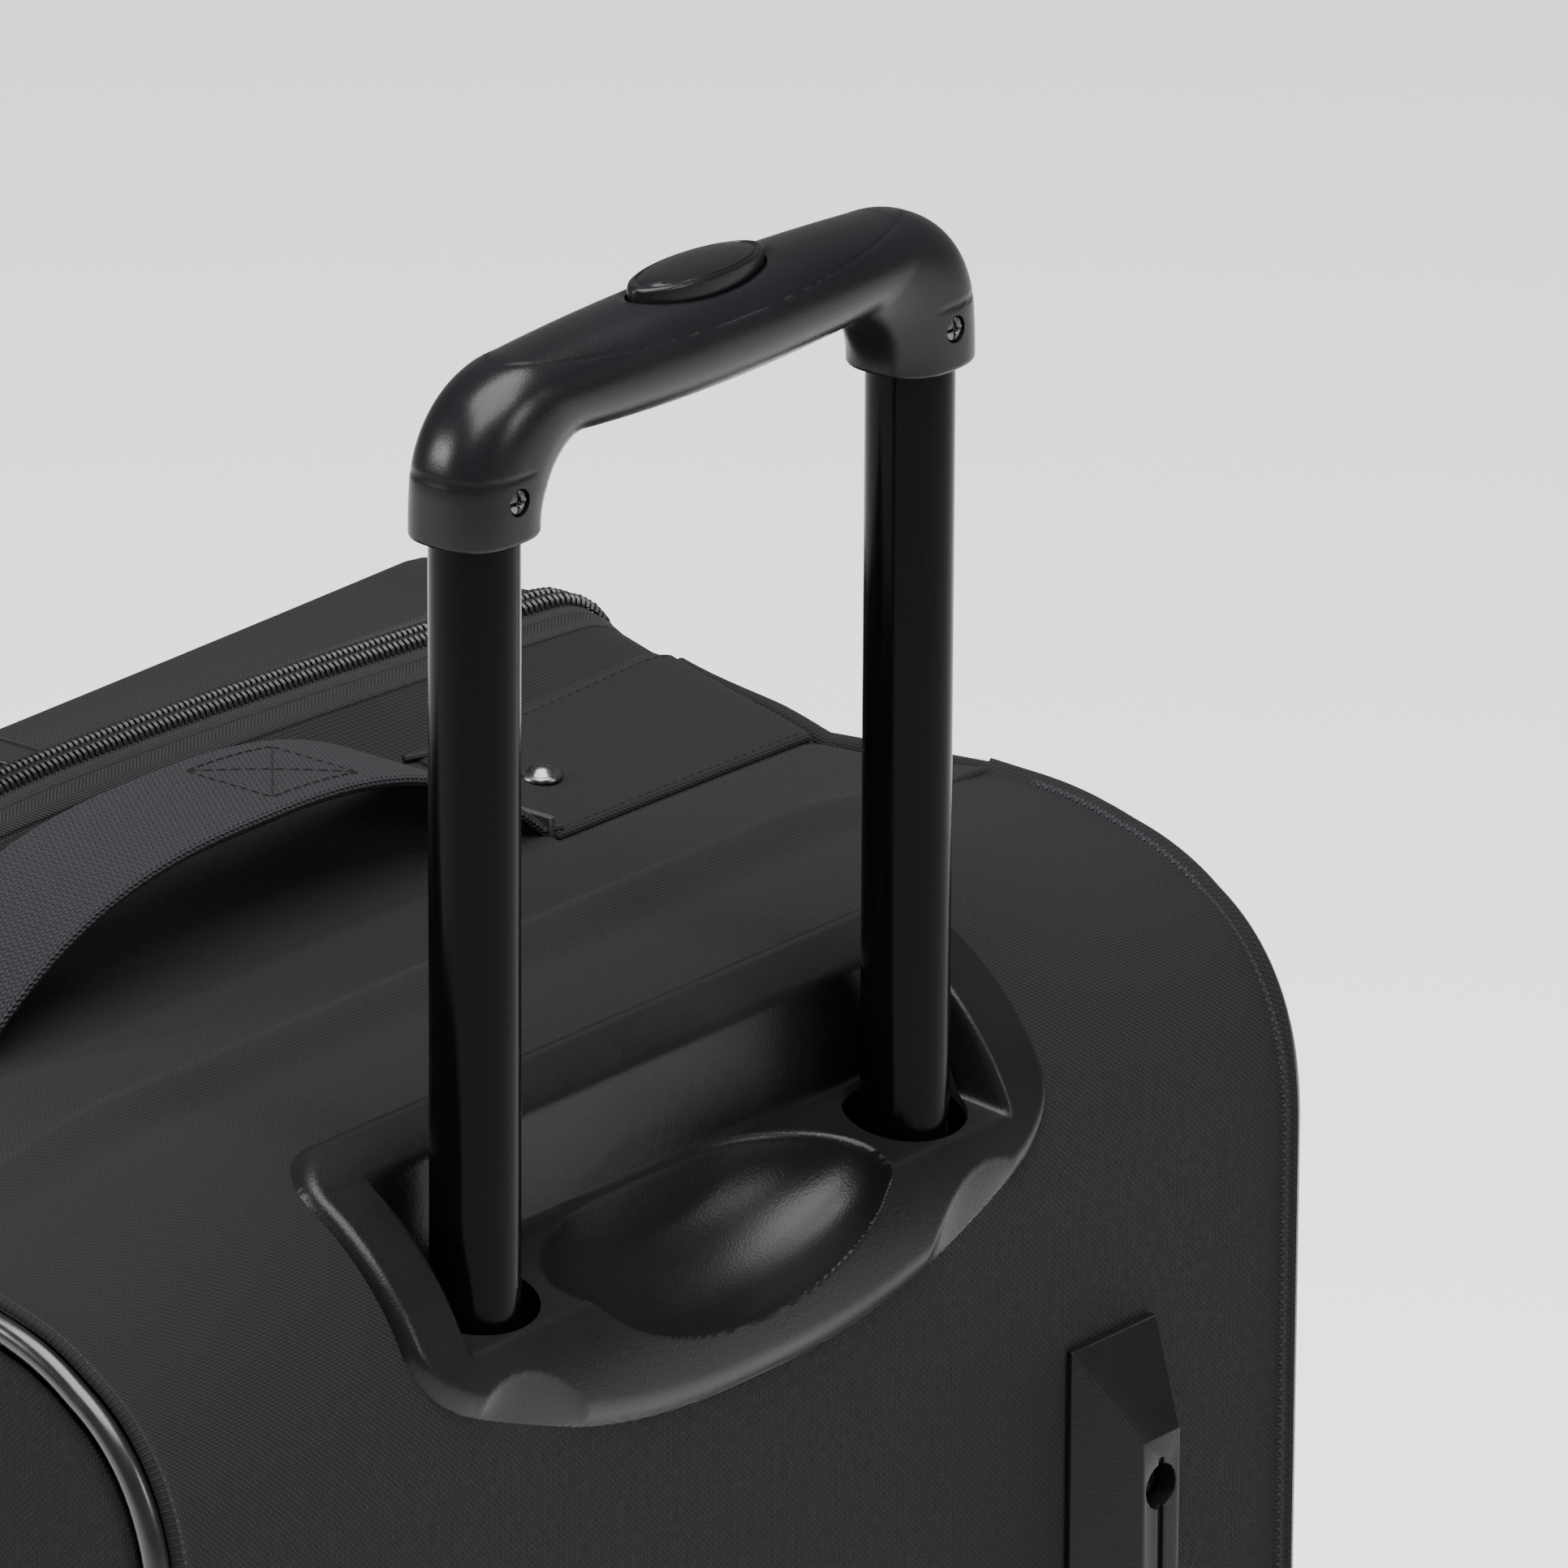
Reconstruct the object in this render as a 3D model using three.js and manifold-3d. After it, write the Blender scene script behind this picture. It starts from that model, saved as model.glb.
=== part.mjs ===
// Softside upright suitcase with a two-stage telescopic handle, two rear wheels, a front lid on a
// fabric hinge and two front pockets. Millimetres, +Z up. The back (handle side) faces +Y and the
// lid faces -Y; left is +X, as seen from behind. The origin is on the floor, at the middle of the
// outer box.
import * as THREE from 'three';
import { mergeVertices } from 'three/addons/utils/BufferGeometryUtils.js';
import Module from 'manifold-3d';

const wasm = await Module();
wasm.setup();

// ---- Driving dimensions ------------------------------------------------------------------------

// Case
const CASE_WIDTH = 400; // over the side panels
const CASE_TOP = 653; // floor to the top of the rear shell
const BASE_LIFT = 40; // floor to the underside of the case
const SHELL_DEPTH = 213; // zipper plane to the back panel
const LID_DEPTH = 45; // zipper plane to the lid's front
const BOARD = 3; // stiffened fabric wall
const BASE_BOARD = 4; // floor board of the case
const BACK_ROUND = 75; // top rear corner of the shell
const ROUND_POWER = 2.2; // 2 is a true circle, more is squarer
const SHELL_FLAT = 14; // flat top of the rear shell in front of its round
const BAND_DEPTH = 27; // strip of the case behind the zipper
const FRONT_CORNER = 20; // corners of the lid and band, seen from the front
const GAP = 0.3; // between pieces that touch
const BEAD_RADIUS = 2.6; // piping along the side edges
const TOP_DROP = 4; // soft top panel below the shell's top
const LID_RISE = 5; // lid and band stand above the shell's top

// Telescopic handle
const TUBE_SPACING = 150; // between the two tube axes
const TUBE_INSET = 18; // tube axis in front of the back panel
const TUBE_WALL = 1;
const INNER_RADIUS = 10.15;
const STAGE_GAP = 0.75; // radial space between one tube and the next
const UPPER_TRAVEL = 174; // the upper stage is drawn fully raised
const GRIP_RISE = 141; // shell top to the bottom of the grip's sleeves
const TUBE_OVERLAP = 80; // upper tube left inside the middle tube when raised
const COLLAR_HEIGHT = 10;
const COLLAR_PLAY = 0.3; // radial clearance of every sliding fit

// Grip
const SLEEVE_SIDE = 3.85; // grip plastic beside each tube
const SLEEVE_REAR = 2.85; // and in front of and behind it
const BAR_HEIGHT = 28.5; // sleeve bottom to the bar's axis
const BAR_RADIUS = 12.5;
const BAR_SWELL = 2; // extra radius at the bar's middle
const GRIP_CORNER = 27; // outer round over each sleeve
const ARCH_RADIUS = 16; // inner round between bar and sleeve
const GRIP_BEVEL = 8; // edge round of the grip
const COVER_SPLIT = 5; // cover seam above the bar's axis
const BUTTON_LENGTH = 46;
const BUTTON_WIDTH = 16;
const BUTTON_PROUD = 2.5;
const BUTTON_TRAVEL = 3;
const ROD_RADIUS = 2;
const PIN_RADIUS = 2.2;
const PIN_LENGTH = 7;
const PIN_TRAVEL = 1.5;
const PLUG_LENGTH = 26;
const SCREW_HEAD_RADIUS = 2.95;

// Moulded bezel round the handle
const RIM_WIDTH = 16; // flange beside the recess
const BEZEL_PROUD = 3;
const BEZEL_REACH = 53; // rim in front of the back panel
const BEZEL_DROP = 75; // lowest point of the rim below the shell top
const BEZEL_CORNER = 14;
const BEZEL_WALL = 3;
const RECESS_BESIDE = 22; // recess beyond the tube axis
const RECESS_AHEAD = 17; // recess wall in front of the tube axis
const FLOOR_FRONT = 34; // recess floor below the shell top, at the wall
const FLOOR_REAR = 40; // and at the rear ridge
const RIDGE_BEHIND = 14; // ridge behind the tube axis
const HOLE_BESIDE = 5.85; // oval tube hole beyond the tube, along X
const HOLE_BEHIND = 3.05; // and along Y
const BOWL_HALF_WIDTH = 56;
const BOWL_HALF_DEPTH = 24;
const BOWL_HALF_HEIGHT = 27;
const BOWL_BEHIND = 8; // bowl's centre behind the tube axis
const BOWL_BELOW = 2; // and below the recess floor

// Carry straps
const STRAP_SPAN = 200;
const STRAP_WIDTH = 38;
const STRAP_RISE = 32;
const STRAP_THICK = 3;
const STRAP_TAIL = 20;
const STRAP_BEHIND_ZIP = 50;
const SIDE_STRAP_SPAN = 150;
const SIDE_STRAP_WIDTH = 32;
const SIDE_STANDOFF = 14; // side strap and side feet stand out this far

// Zippers and pockets
const TAPE_WIDTH = 11;
const TAPE_THICK = 1.5;
const ZIP_END = 70; // zipper ends this far above the underside
const HINGE_INSET = 7; // hinge strip ends this far in from each side
const SLIDER_LENGTH = 15;
const SLIDER_WIDTH = 9;
const SLIDER_HEIGHT = 6;
const TAB_LENGTH = 22;
const TAB_WIDTH = 12;
const TAB_THICK = 2;
const POCKET_DEPTH = 20;
const POCKET_MARGIN = 30; // beside each pocket
const POCKET_BOTTOM = 45; // lower pocket above the underside of the case
const UPPER_POCKET_HEIGHT = 165;
const POCKET_BELOW_TOP = 43; // upper pocket below the shell's top
const POCKET_SPACE = 30; // between the two pockets
const POCKET_CORNER = 24;
const POCKET_WALL = 3;
const MOUTH_WIDTH = 6; // slit that the pocket's zipper closes

// Skid rails
const RAIL_ASIDE = 72.5; // rail's middle in from the side of the case
const RAIL_BASE = 31;
const RAIL_RIDGE = 13.4;
const RAIL_HEIGHT = 16; // the rails and wheel housings are the rearmost pieces
const RAIL_RAMP = 23;
const RAIL_TOP_DROP = 104; // top of the rail below the shell top
const RAIL_GROOVE = 2;
const RAIL_HOLE_RADIUS = 5.5;

// Wheels and feet
const WHEEL_RADIUS = 32;
const WHEEL_WIDTH = 22;
const WHEEL_ASIDE = 30; // wheel's middle in from the side of the case
const WHEEL_BEHIND = 12; // wheel's rear behind the back panel
const TYRE_THICK = 7;
const WELL_PLAY = 2.5;
const AXLE_RADIUS = 3;
const HOUSING_WIDTH = 88;
const HOUSING_ROOM = 14; // housing depth beyond the wheel's diameter
const HOUSING_ABOVE = 54; // housing top above the wheel
const HOUSING_BOTTOM = 24;
const FOOT_ASIDE = 50; // front foot's middle in from the side of the case
const FOOT_LENGTH = 46;
const FOOT_DEPTH = 30;

// ---- Derived places ----------------------------------------------------------------------------

const HALF = CASE_WIDTH / 2;
const LID_TOP = CASE_TOP + LID_RISE;
const SHELL_WRAP = BACK_ROUND + SHELL_FLAT;
const MIDDLE_RADIUS = INNER_RADIUS + STAGE_GAP + TUBE_WALL;
const OUTER_RADIUS = MIDDLE_RADIUS + STAGE_GAP + TUBE_WALL;
const SLEEVE_WIDTH = 2 * (INNER_RADIUS + SLEEVE_SIDE);
const SLEEVE_DEPTH = 2 * (INNER_RADIUS + SLEEVE_REAR);
const HOLE_HALF_WIDTH = INNER_RADIUS + HOLE_BESIDE;
const HOLE_HALF_DEPTH = INNER_RADIUS + HOLE_BEHIND;
const RECESS_HALF = TUBE_SPACING / 2 + RECESS_BESIDE;
const BEZEL_HALF = RECESS_HALF + RIM_WIDTH;
const POCKET_WIDTH = CASE_WIDTH - 2 * POCKET_MARGIN;
const LOWER_POCKET_BOTTOM = BASE_LIFT + POCKET_BOTTOM;
const UPPER_POCKET_BOTTOM = CASE_TOP - POCKET_BELOW_TOP - UPPER_POCKET_HEIGHT;
const LOWER_POCKET_HEIGHT = UPPER_POCKET_BOTTOM - POCKET_SPACE - LOWER_POCKET_BOTTOM;
const RAIL_X = HALF - RAIL_ASIDE;
const WHEEL_X = HALF - WHEEL_ASIDE;
const WHEEL_INSET = WHEEL_RADIUS - WHEEL_BEHIND; // axle in front of the back panel
const HOUSING_INNER_X = HALF - HOUSING_WIDTH;
const HOUSING_DEPTH = 2 * WHEEL_RADIUS + HOUSING_ROOM; // in front of the back panel
const HOUSING_TOP = 2 * WHEEL_RADIUS + HOUSING_ABOVE;
const FOOT_X = HALF - FOOT_ASIDE;
const BACK = (SHELL_DEPTH + LID_DEPTH + POCKET_DEPTH - RAIL_HEIGHT) / 2;
const ZIP = BACK - SHELL_DEPTH;
const LID_FRONT = ZIP - LID_DEPTH;
const BAND_END = ZIP + BAND_DEPTH;
const TUBE_X = TUBE_SPACING / 2;
const TUBE_Y = BACK - TUBE_INSET;
const SLEEVE_BOTTOM = CASE_TOP + GRIP_RISE;
const BAR_Z = SLEEVE_BOTTOM + BAR_HEIGHT;
const EDGE_HALF = HALF - 2 * BEAD_RADIUS - GAP - 0.1; // shell and top panel stop at the piping
const STRAP_Y = ZIP + STRAP_BEHIND_ZIP;

const SIDES = [['left', 1], ['right', -1]];

// ---- Materials ---------------------------------------------------------------------------------

function finish(color, roughness, metalness) {
  return new THREE.MeshStandardMaterial({ color, roughness, metalness });
}
const fabric = () => finish(0x1d1e20, 0.9, 0);
const webbing = () => finish(0x232528, 0.85, 0);
const satinPlastic = () => finish(0x1a1a1b, 0.5, 0);
const softGrip = () => finish(0x222326, 0.42, 0);
const glossPlastic = () => finish(0x0c0c0d, 0.18, 0);
const blackTube = () => finish(0x0b0b0c, 0.2, 0.6);
const steel = () => finish(0x8d8f92, 0.35, 1);
const tyreRubber = () => finish(0x161616, 0.8, 0);

// ---- Solid helpers -----------------------------------------------------------------------------

function toSolid(geometry) {
  const bare = geometry.clone();
  bare.deleteAttribute('normal');
  bare.deleteAttribute('uv');
  const merged = mergeVertices(bare, 1e-4);
  return new wasm.Manifold(new wasm.Mesh({
    numProp: 3,
    vertProperties: new Float32Array(merged.attributes.position.array),
    triVerts: new Uint32Array(merged.index.array),
  }));
}

function toGeometry(solid) {
  const mesh = solid.getMesh();
  const geometry = new THREE.BufferGeometry();
  geometry.setAttribute('position', new THREE.BufferAttribute(new Float32Array(mesh.vertProperties), 3));
  geometry.setIndex(new THREE.BufferAttribute(new Uint32Array(mesh.triVerts), 1));
  geometry.computeVertexNormals();
  return geometry;
}

function cut(first, ...others) {
  return others.reduce((solid, other) => solid.subtract(toSolid(other)), toSolid(first));
}

function block(x0, x1, y0, y1, z0, z1) {
  const box = new THREE.BoxGeometry(x1 - x0, y1 - y0, z1 - z0);
  return box.translate((x0 + x1) / 2, (y0 + y1) / 2, (z0 + z1) / 2);
}

function extrude(shape, depth, options = {}) {
  const settings = { depth, bevelEnabled: false, curveSegments: 6, steps: 1, ...options };
  return new THREE.ExtrudeGeometry(shape, settings);
}

// A shape drawn in (Y, Z), extruded along X.
function extrudeX(shape, x0, x1) {
  const turn = new THREE.Matrix4().makeBasis(
    new THREE.Vector3(0, 1, 0), new THREE.Vector3(0, 0, 1), new THREE.Vector3(1, 0, 0));
  return extrude(shape, x1 - x0).applyMatrix4(turn).translate(x0, 0, 0);
}

// A shape drawn in (X, Z), extruded along Y.
function extrudeY(shape, y0, y1, options = {}) {
  return extrude(shape, y1 - y0, options).rotateX(Math.PI / 2).translate(0, y1, 0);
}

// A cylinder or ellipse along Z.
function rod(x, y, z0, z1, radiusX, radiusY = radiusX, segments = 24) {
  const cylinder = new THREE.CylinderGeometry(1, 1, z1 - z0, segments).rotateX(Math.PI / 2);
  return cylinder.scale(radiusX, radiusY, 1).translate(x, y, (z0 + z1) / 2);
}

function rodX(x0, x1, y, z, radius, segments = 16) {
  const cylinder = new THREE.CylinderGeometry(radius, radius, x1 - x0, segments).rotateZ(Math.PI / 2);
  return cylinder.translate((x0 + x1) / 2, y, z);
}

function rodY(x, y0, y1, z, radius, segments = 16) {
  return new THREE.CylinderGeometry(radius, radius, y1 - y0, segments).translate(x, (y0 + y1) / 2, z);
}

// A ring of closed outline (radius, height) turned about Z.
function turned(outline, segments = 20) {
  const points = outline.map(([radius, height]) => new THREE.Vector2(radius, height));
  return new THREE.LatheGeometry(points, segments).rotateX(Math.PI / 2);
}

function pipe(outer, bore, height) {
  return turned([[bore, 0], [outer, 0], [outer, height], [bore, height], [bore, 0]]);
}

function polygon(points) {
  return new THREE.Shape(points.map(([u, v]) => new THREE.Vector2(u, v)));
}

function roundedRect(left, bottom, right, top, radius, target = new THREE.Shape()) {
  target.moveTo(right, bottom + radius);
  target.absarc(right - radius, top - radius, radius, 0, Math.PI / 2);
  target.absarc(left + radius, top - radius, radius, Math.PI / 2, Math.PI);
  target.absarc(left + radius, bottom + radius, radius, Math.PI, 1.5 * Math.PI);
  target.absarc(right - radius, bottom + radius, radius, 1.5 * Math.PI, 2 * Math.PI);
  return target;
}

// ---- Side profile of the rear shell ------------------------------------------------------------

// Points of the top rear corner in (Y, Z), from the back up to the top, moved in by inset.
function cornerPoints(inset, count) {
  const radius = BACK_ROUND - inset;
  const points = [];
  for (let i = 0; i <= count; i += 1) {
    const angle = (i / count) * Math.PI / 2;
    const along = Math.abs(Math.cos(angle)) ** (2 / ROUND_POWER);
    const up = Math.sin(angle) ** (2 / ROUND_POWER);
    points.push([BACK - BACK_ROUND + radius * along, CASE_TOP - BACK_ROUND + radius * up]);
  }
  return points;
}

// Height of the shell's surface above a given Y, and its Y at a given height.
function shellZ(y) {
  const share = Math.max(0, (y - BACK + BACK_ROUND) / BACK_ROUND);
  return CASE_TOP - BACK_ROUND + BACK_ROUND * (1 - share ** ROUND_POWER) ** (1 / ROUND_POWER);
}
function shellY(z) {
  const share = Math.max(0, (z - CASE_TOP + BACK_ROUND) / BACK_ROUND);
  return BACK - BACK_ROUND + BACK_ROUND * (1 - share ** ROUND_POWER) ** (1 / ROUND_POWER);
}

// A layer of the shell between two insets.
function layerShape(outerInset, innerInset, bottom, front, count = 12) {
  const outer = cornerPoints(outerInset, count);
  const inner = cornerPoints(innerInset, count).reverse();
  return polygon([
    [BACK - outerInset, bottom], ...outer, [front, CASE_TOP - outerInset],
    [front, CASE_TOP - innerInset], ...inner, [BACK - innerInset, bottom],
  ]);
}

// Everything inside the shell's profile.
function insideShape(inset, bottom, front, count = 12) {
  return polygon([
    [front, bottom], [BACK - inset, bottom], ...cornerPoints(inset, count),
    [front, CASE_TOP - inset],
  ]);
}

// ---- Scene graph -------------------------------------------------------------------------------

const suitcase = new THREE.Group();

function add(name, geometry, material, parent = suitcase) {
  const mesh = new THREE.Mesh(geometry, material);
  mesh.name = name;
  parent.add(mesh);
  return mesh;
}

// ---- Fabric case -------------------------------------------------------------------------------

function housingNotch(side, grow = GAP) {
  const inner = HOUSING_INNER_X - grow;
  const outer = HALF + 20;
  const [x0, x1] = side > 0 ? [inner, outer] : [-outer, -inner];
  return block(x0, x1, BACK - HOUSING_DEPTH - grow, BACK + 40, 0, HOUSING_TOP + grow);
}

const bowlCentre = [0, TUBE_Y + BOWL_BEHIND, CASE_TOP - FLOOR_FRONT - BOWL_BELOW];

function bowl(grow) {
  const ball = new THREE.SphereGeometry(1, 20, 14).rotateX(Math.PI / 2);
  ball.scale(BOWL_HALF_WIDTH + grow, BOWL_HALF_DEPTH + grow, BOWL_HALF_HEIGHT + grow);
  return ball.translate(...bowlCentre);
}

// Outline of the bezel's bucket in (Y, Z), open to the top and to the rear.
function bucketShape(grow) {
  const front = TUBE_Y - RECESS_AHEAD - grow;
  const ridge = TUBE_Y + RIDGE_BEHIND;
  return polygon([
    [front, CASE_TOP + 30], [front, CASE_TOP - FLOOR_FRONT - grow],
    [ridge, CASE_TOP - FLOOR_REAR - grow], [BACK + 30, CASE_TOP - FLOOR_REAR - grow],
    [BACK + 30, CASE_TOP + 30],
  ]);
}

function buildCase() {
  const shell = extrudeX(
    layerShape(0, BOARD, BASE_LIFT, BACK - SHELL_WRAP), -EDGE_HALF, EDGE_HALF);
  const opening = BEZEL_WALL + GAP;
  const tubeSlots = SIDES.map(([, side]) => rod(side * TUBE_X, TUBE_Y,
    CASE_TOP - BACK_ROUND, CASE_TOP - FLOOR_FRONT, OUTER_RADIUS + GAP));
  add('back_shell', toGeometry(cut(shell,
    extrudeX(bucketShape(opening), -RECESS_HALF - opening, RECESS_HALF + opening),
    bowl(opening), ...tubeSlots, housingNotch(1), housingNotch(-1))), fabric());

  add('top_panel', block(-EDGE_HALF, EDGE_HALF, BAND_END + GAP, BACK - SHELL_WRAP - GAP,
    CASE_TOP - TOP_DROP - BOARD, CASE_TOP - TOP_DROP), fabric());

  const edgeInset = 2 * BEAD_RADIUS + 1;
  for (const [name, side] of SIDES) {
    const x0 = side > 0 ? HALF - BOARD : -HALF;
    const panel = extrudeX(
      insideShape(edgeInset, BASE_LIFT, BAND_END + GAP), x0, x0 + BOARD);
    add(`side_panel_${name}`, toGeometry(cut(panel, housingNotch(side))), fabric());
  }

  const inner = HALF - BOARD - GAP;
  const board = block(-inner, inner, BAND_END + GAP, BACK - BOARD - GAP,
    BASE_LIFT, BASE_LIFT + BASE_BOARD);
  add('base_board', toGeometry(cut(board, housingNotch(1), housingNotch(-1))), satinPlastic());

  add('case_band', extrudeY(bandShape(), ZIP + GAP, BAND_END), fabric());
  for (const [name, side] of SIDES) add(`edge_piping_${name}`, piping(side), glossPlastic());
}

function bandShape() {
  const outline = roundedRect(-HALF, BASE_LIFT, HALF, LID_TOP, FRONT_CORNER);
  outline.holes.push(roundedRect(-HALF + BOARD, BASE_LIFT + BOARD, HALF - BOARD, LID_TOP - BOARD,
    FRONT_CORNER - BOARD, new THREE.Path()));
  return outline;
}

// Piping bead: up the back edge, round the corner and forward to the band.
function piping(side) {
  const inset = BEAD_RADIUS + 0.1;
  const x = side * (HALF - inset);
  const corner = cornerPoints(inset, 10).map(([y, z]) => new THREE.Vector3(x, y, z));
  const low = new THREE.Vector3(x, BACK - inset, HOUSING_TOP + GAP);
  const front = new THREE.Vector3(x, BAND_END + GAP, CASE_TOP - inset);
  const path = new THREE.CurvePath();
  path.add(new THREE.LineCurve3(low, corner[0]));
  path.add(new THREE.CatmullRomCurve3(corner));
  path.add(new THREE.LineCurve3(corner[corner.length - 1], front));
  const section = new THREE.Shape().absarc(0, 0, BEAD_RADIUS, 0, 2 * Math.PI);
  return new THREE.ExtrudeGeometry(section, {
    steps: 36, curveSegments: 4, bevelEnabled: false, extrudePath: path,
  });
}

// ---- Lid, zipper and pockets -------------------------------------------------------------------

// The zipper's path from the left side over the top to the right side, as a strip in (X, Z).
function tapeShape() {
  const near = GAP;
  const far = GAP + TAPE_THICK;
  const arcX = HALF - FRONT_CORNER;
  const arcZ = LID_TOP - FRONT_CORNER;
  const end = BASE_LIFT + ZIP_END;
  const shape = new THREE.Shape();
  shape.moveTo(HALF + far, end);
  shape.absarc(arcX, arcZ, FRONT_CORNER + far, 0, Math.PI / 2);
  shape.absarc(-arcX, arcZ, FRONT_CORNER + far, Math.PI / 2, Math.PI);
  shape.lineTo(-HALF - far, end);
  shape.lineTo(-HALF - near, end);
  shape.absarc(-arcX, arcZ, FRONT_CORNER + near, Math.PI, Math.PI / 2, true);
  shape.absarc(arcX, arcZ, FRONT_CORNER + near, Math.PI / 2, 0, true);
  shape.lineTo(HALF + near, end);
  return shape;
}

function pocket(bottom, height) {
  const front = LID_FRONT - POCKET_DEPTH;
  const side = POCKET_WIDTH / 2;
  const top = bottom + height;
  const outline = roundedRect(-side, bottom, side, top, POCKET_CORNER);
  const hollow = roundedRect(-side + POCKET_WALL, bottom + POCKET_WALL, side - POCKET_WALL,
    top - POCKET_WALL, POCKET_CORNER - POCKET_WALL);
  const mouthHalf = side - POCKET_CORNER;
  const middle = (front + LID_FRONT) / 2;
  return toGeometry(cut(extrudeY(outline, front, LID_FRONT - GAP),
    extrudeY(hollow, front + POCKET_WALL, LID_FRONT + 1),
    block(-mouthHalf, mouthHalf, middle - MOUTH_WIDTH / 2, middle + MOUTH_WIDTH / 2,
      top - 2 * POCKET_WALL, top + 1)));
}

function pocketSlider(top) {
  const middle = LID_FRONT - POCKET_DEPTH / 2;
  const low = top + GAP;
  const body = block(-SLIDER_LENGTH / 2, SLIDER_LENGTH / 2, middle - SLIDER_WIDTH / 2,
    middle + SLIDER_WIDTH / 2, low, low + SLIDER_HEIGHT * 0.6);
  const tab = block(-TAB_WIDTH / 2, TAB_WIDTH / 2, LID_FRONT - POCKET_DEPTH,
    middle, low + SLIDER_HEIGHT * 0.3, low + SLIDER_HEIGHT * 0.3 + TAB_THICK);
  return toGeometry(toSolid(body).add(toSolid(tab)));
}

function buildLid() {
  const face = roundedRect(-HALF, BASE_LIFT, HALF, LID_TOP, FRONT_CORNER);
  add('lid_panel', extrudeY(face, LID_FRONT, LID_FRONT + BOARD), fabric());
  const band = toSolid(extrudeY(bandShape(), LID_FRONT + BOARD + GAP, ZIP - GAP));
  const seam = HALF - HINGE_INSET; // the side strip is sewn to the hinge strip here
  const within = (side) => toSolid(block(-side, side, LID_FRONT, ZIP, 0, BASE_LIFT + FRONT_CORNER));
  add('lid_band', toGeometry(band.subtract(within(seam + GAP))), fabric());
  add('lid_hinge_band', toGeometry(band.intersect(within(seam))), fabric());
  add('zipper_tape_lid', extrudeY(tapeShape(), ZIP - TAPE_WIDTH, ZIP - GAP), fabric());
  add('zipper_tape_case', extrudeY(tapeShape(), ZIP + GAP, ZIP + TAPE_WIDTH), fabric());

  for (const [name, bottom, height] of [
    ['lower', LOWER_POCKET_BOTTOM, LOWER_POCKET_HEIGHT],
    ['upper', UPPER_POCKET_BOTTOM, UPPER_POCKET_HEIGHT]]) {
    add(`${name}_pocket`, pocket(bottom, height), fabric());
    add(`${name}_pocket_slider`, pocketSlider(bottom + height), glossPlastic());
  }
}

// Two sliders that meet at the middle of the top run, each with a pull tab lying over the lid.
function buildMainSliders() {
  const low = LID_TOP + 2 * GAP + TAPE_THICK;
  const bridge = 2; // the tab lies this far above the slider's sole
  for (const [name, side] of SIDES) {
    const x = side * (SLIDER_LENGTH / 2 + GAP);
    const slider = add(`main_slider_${name}`,
      block(-SLIDER_LENGTH / 2, SLIDER_LENGTH / 2, -SLIDER_WIDTH / 2, SLIDER_WIDTH / 2,
        0, SLIDER_HEIGHT), glossPlastic());
    slider.position.set(x, ZIP, low);
    const tab = add(`pull_tab_${name}`,
      block(-TAB_WIDTH / 2, TAB_WIDTH / 2, -TAB_LENGTH, 0, 0, TAB_THICK), glossPlastic());
    tab.position.set(x, ZIP - SLIDER_WIDTH / 2 - 2 * GAP, low + bridge);
  }
}

// ---- Carry straps ------------------------------------------------------------------------------

// Arched webbing with flat tails, as a shape of length by height.
function strapShape(span, rise, tail) {
  const half = span / 2;
  const out = half + STRAP_THICK * 0.8;
  const top = rise + STRAP_THICK;
  const shape = new THREE.Shape();
  shape.moveTo(-half - tail, 0);
  shape.lineTo(-half, 0);
  shape.bezierCurveTo(-half * 0.9, rise * 0.75, -half * 0.45, rise, 0, rise);
  shape.bezierCurveTo(half * 0.45, rise, half * 0.9, rise * 0.75, half, 0);
  shape.lineTo(half + tail, 0);
  shape.lineTo(half + tail, STRAP_THICK);
  shape.lineTo(out, STRAP_THICK);
  shape.bezierCurveTo(out * 0.9, top * 0.8, half * 0.45, top, 0, top);
  shape.bezierCurveTo(-half * 0.45, top, -out * 0.9, top * 0.8, -out, STRAP_THICK);
  shape.lineTo(-half - tail, STRAP_THICK);
  return shape;
}

function buildStraps() {
  const options = { curveSegments: 7 };
  const top = add('top_strap', extrudeY(strapShape(STRAP_SPAN, STRAP_RISE, STRAP_TAIL),
    -STRAP_WIDTH / 2, STRAP_WIDTH / 2, options), webbing());
  top.position.set(0, STRAP_Y, CASE_TOP - TOP_DROP + GAP);

  const rise = SIDE_STANDOFF - STRAP_THICK - GAP;
  const side = add('side_strap', extrudeY(strapShape(SIDE_STRAP_SPAN, rise, STRAP_TAIL),
    -SIDE_STRAP_WIDTH / 2, SIDE_STRAP_WIDTH / 2, options).rotateY(Math.PI / 2), webbing());
  side.position.set(HALF + GAP, (BAND_END + BACK) / 2, (BASE_LIFT + CASE_TOP) / 2);

  // Feet on the other side, for laying the case on its side.
  const reach = SIDE_STANDOFF - GAP;
  for (const [name, share] of [['lower', 0.28], ['upper', 0.78]]) {
    const foot = new THREE.CylinderGeometry(11, 15, reach, 16).rotateZ(Math.PI / 2);
    const mesh = add(`side_foot_${name}`, foot, satinPlastic());
    mesh.position.set(-HALF - GAP - reach / 2, (BAND_END + BACK) / 2,
      BASE_LIFT + share * (CASE_TOP - BASE_LIFT));
  }
}

// ---- Handle bezel ------------------------------------------------------------------------------

// Place across the 45 degree fold of the top rear corner, measured from the square corner.
function acrossFold(y, z) {
  return ((z - CASE_TOP) - (y - BACK)) / Math.SQRT2;
}

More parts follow.
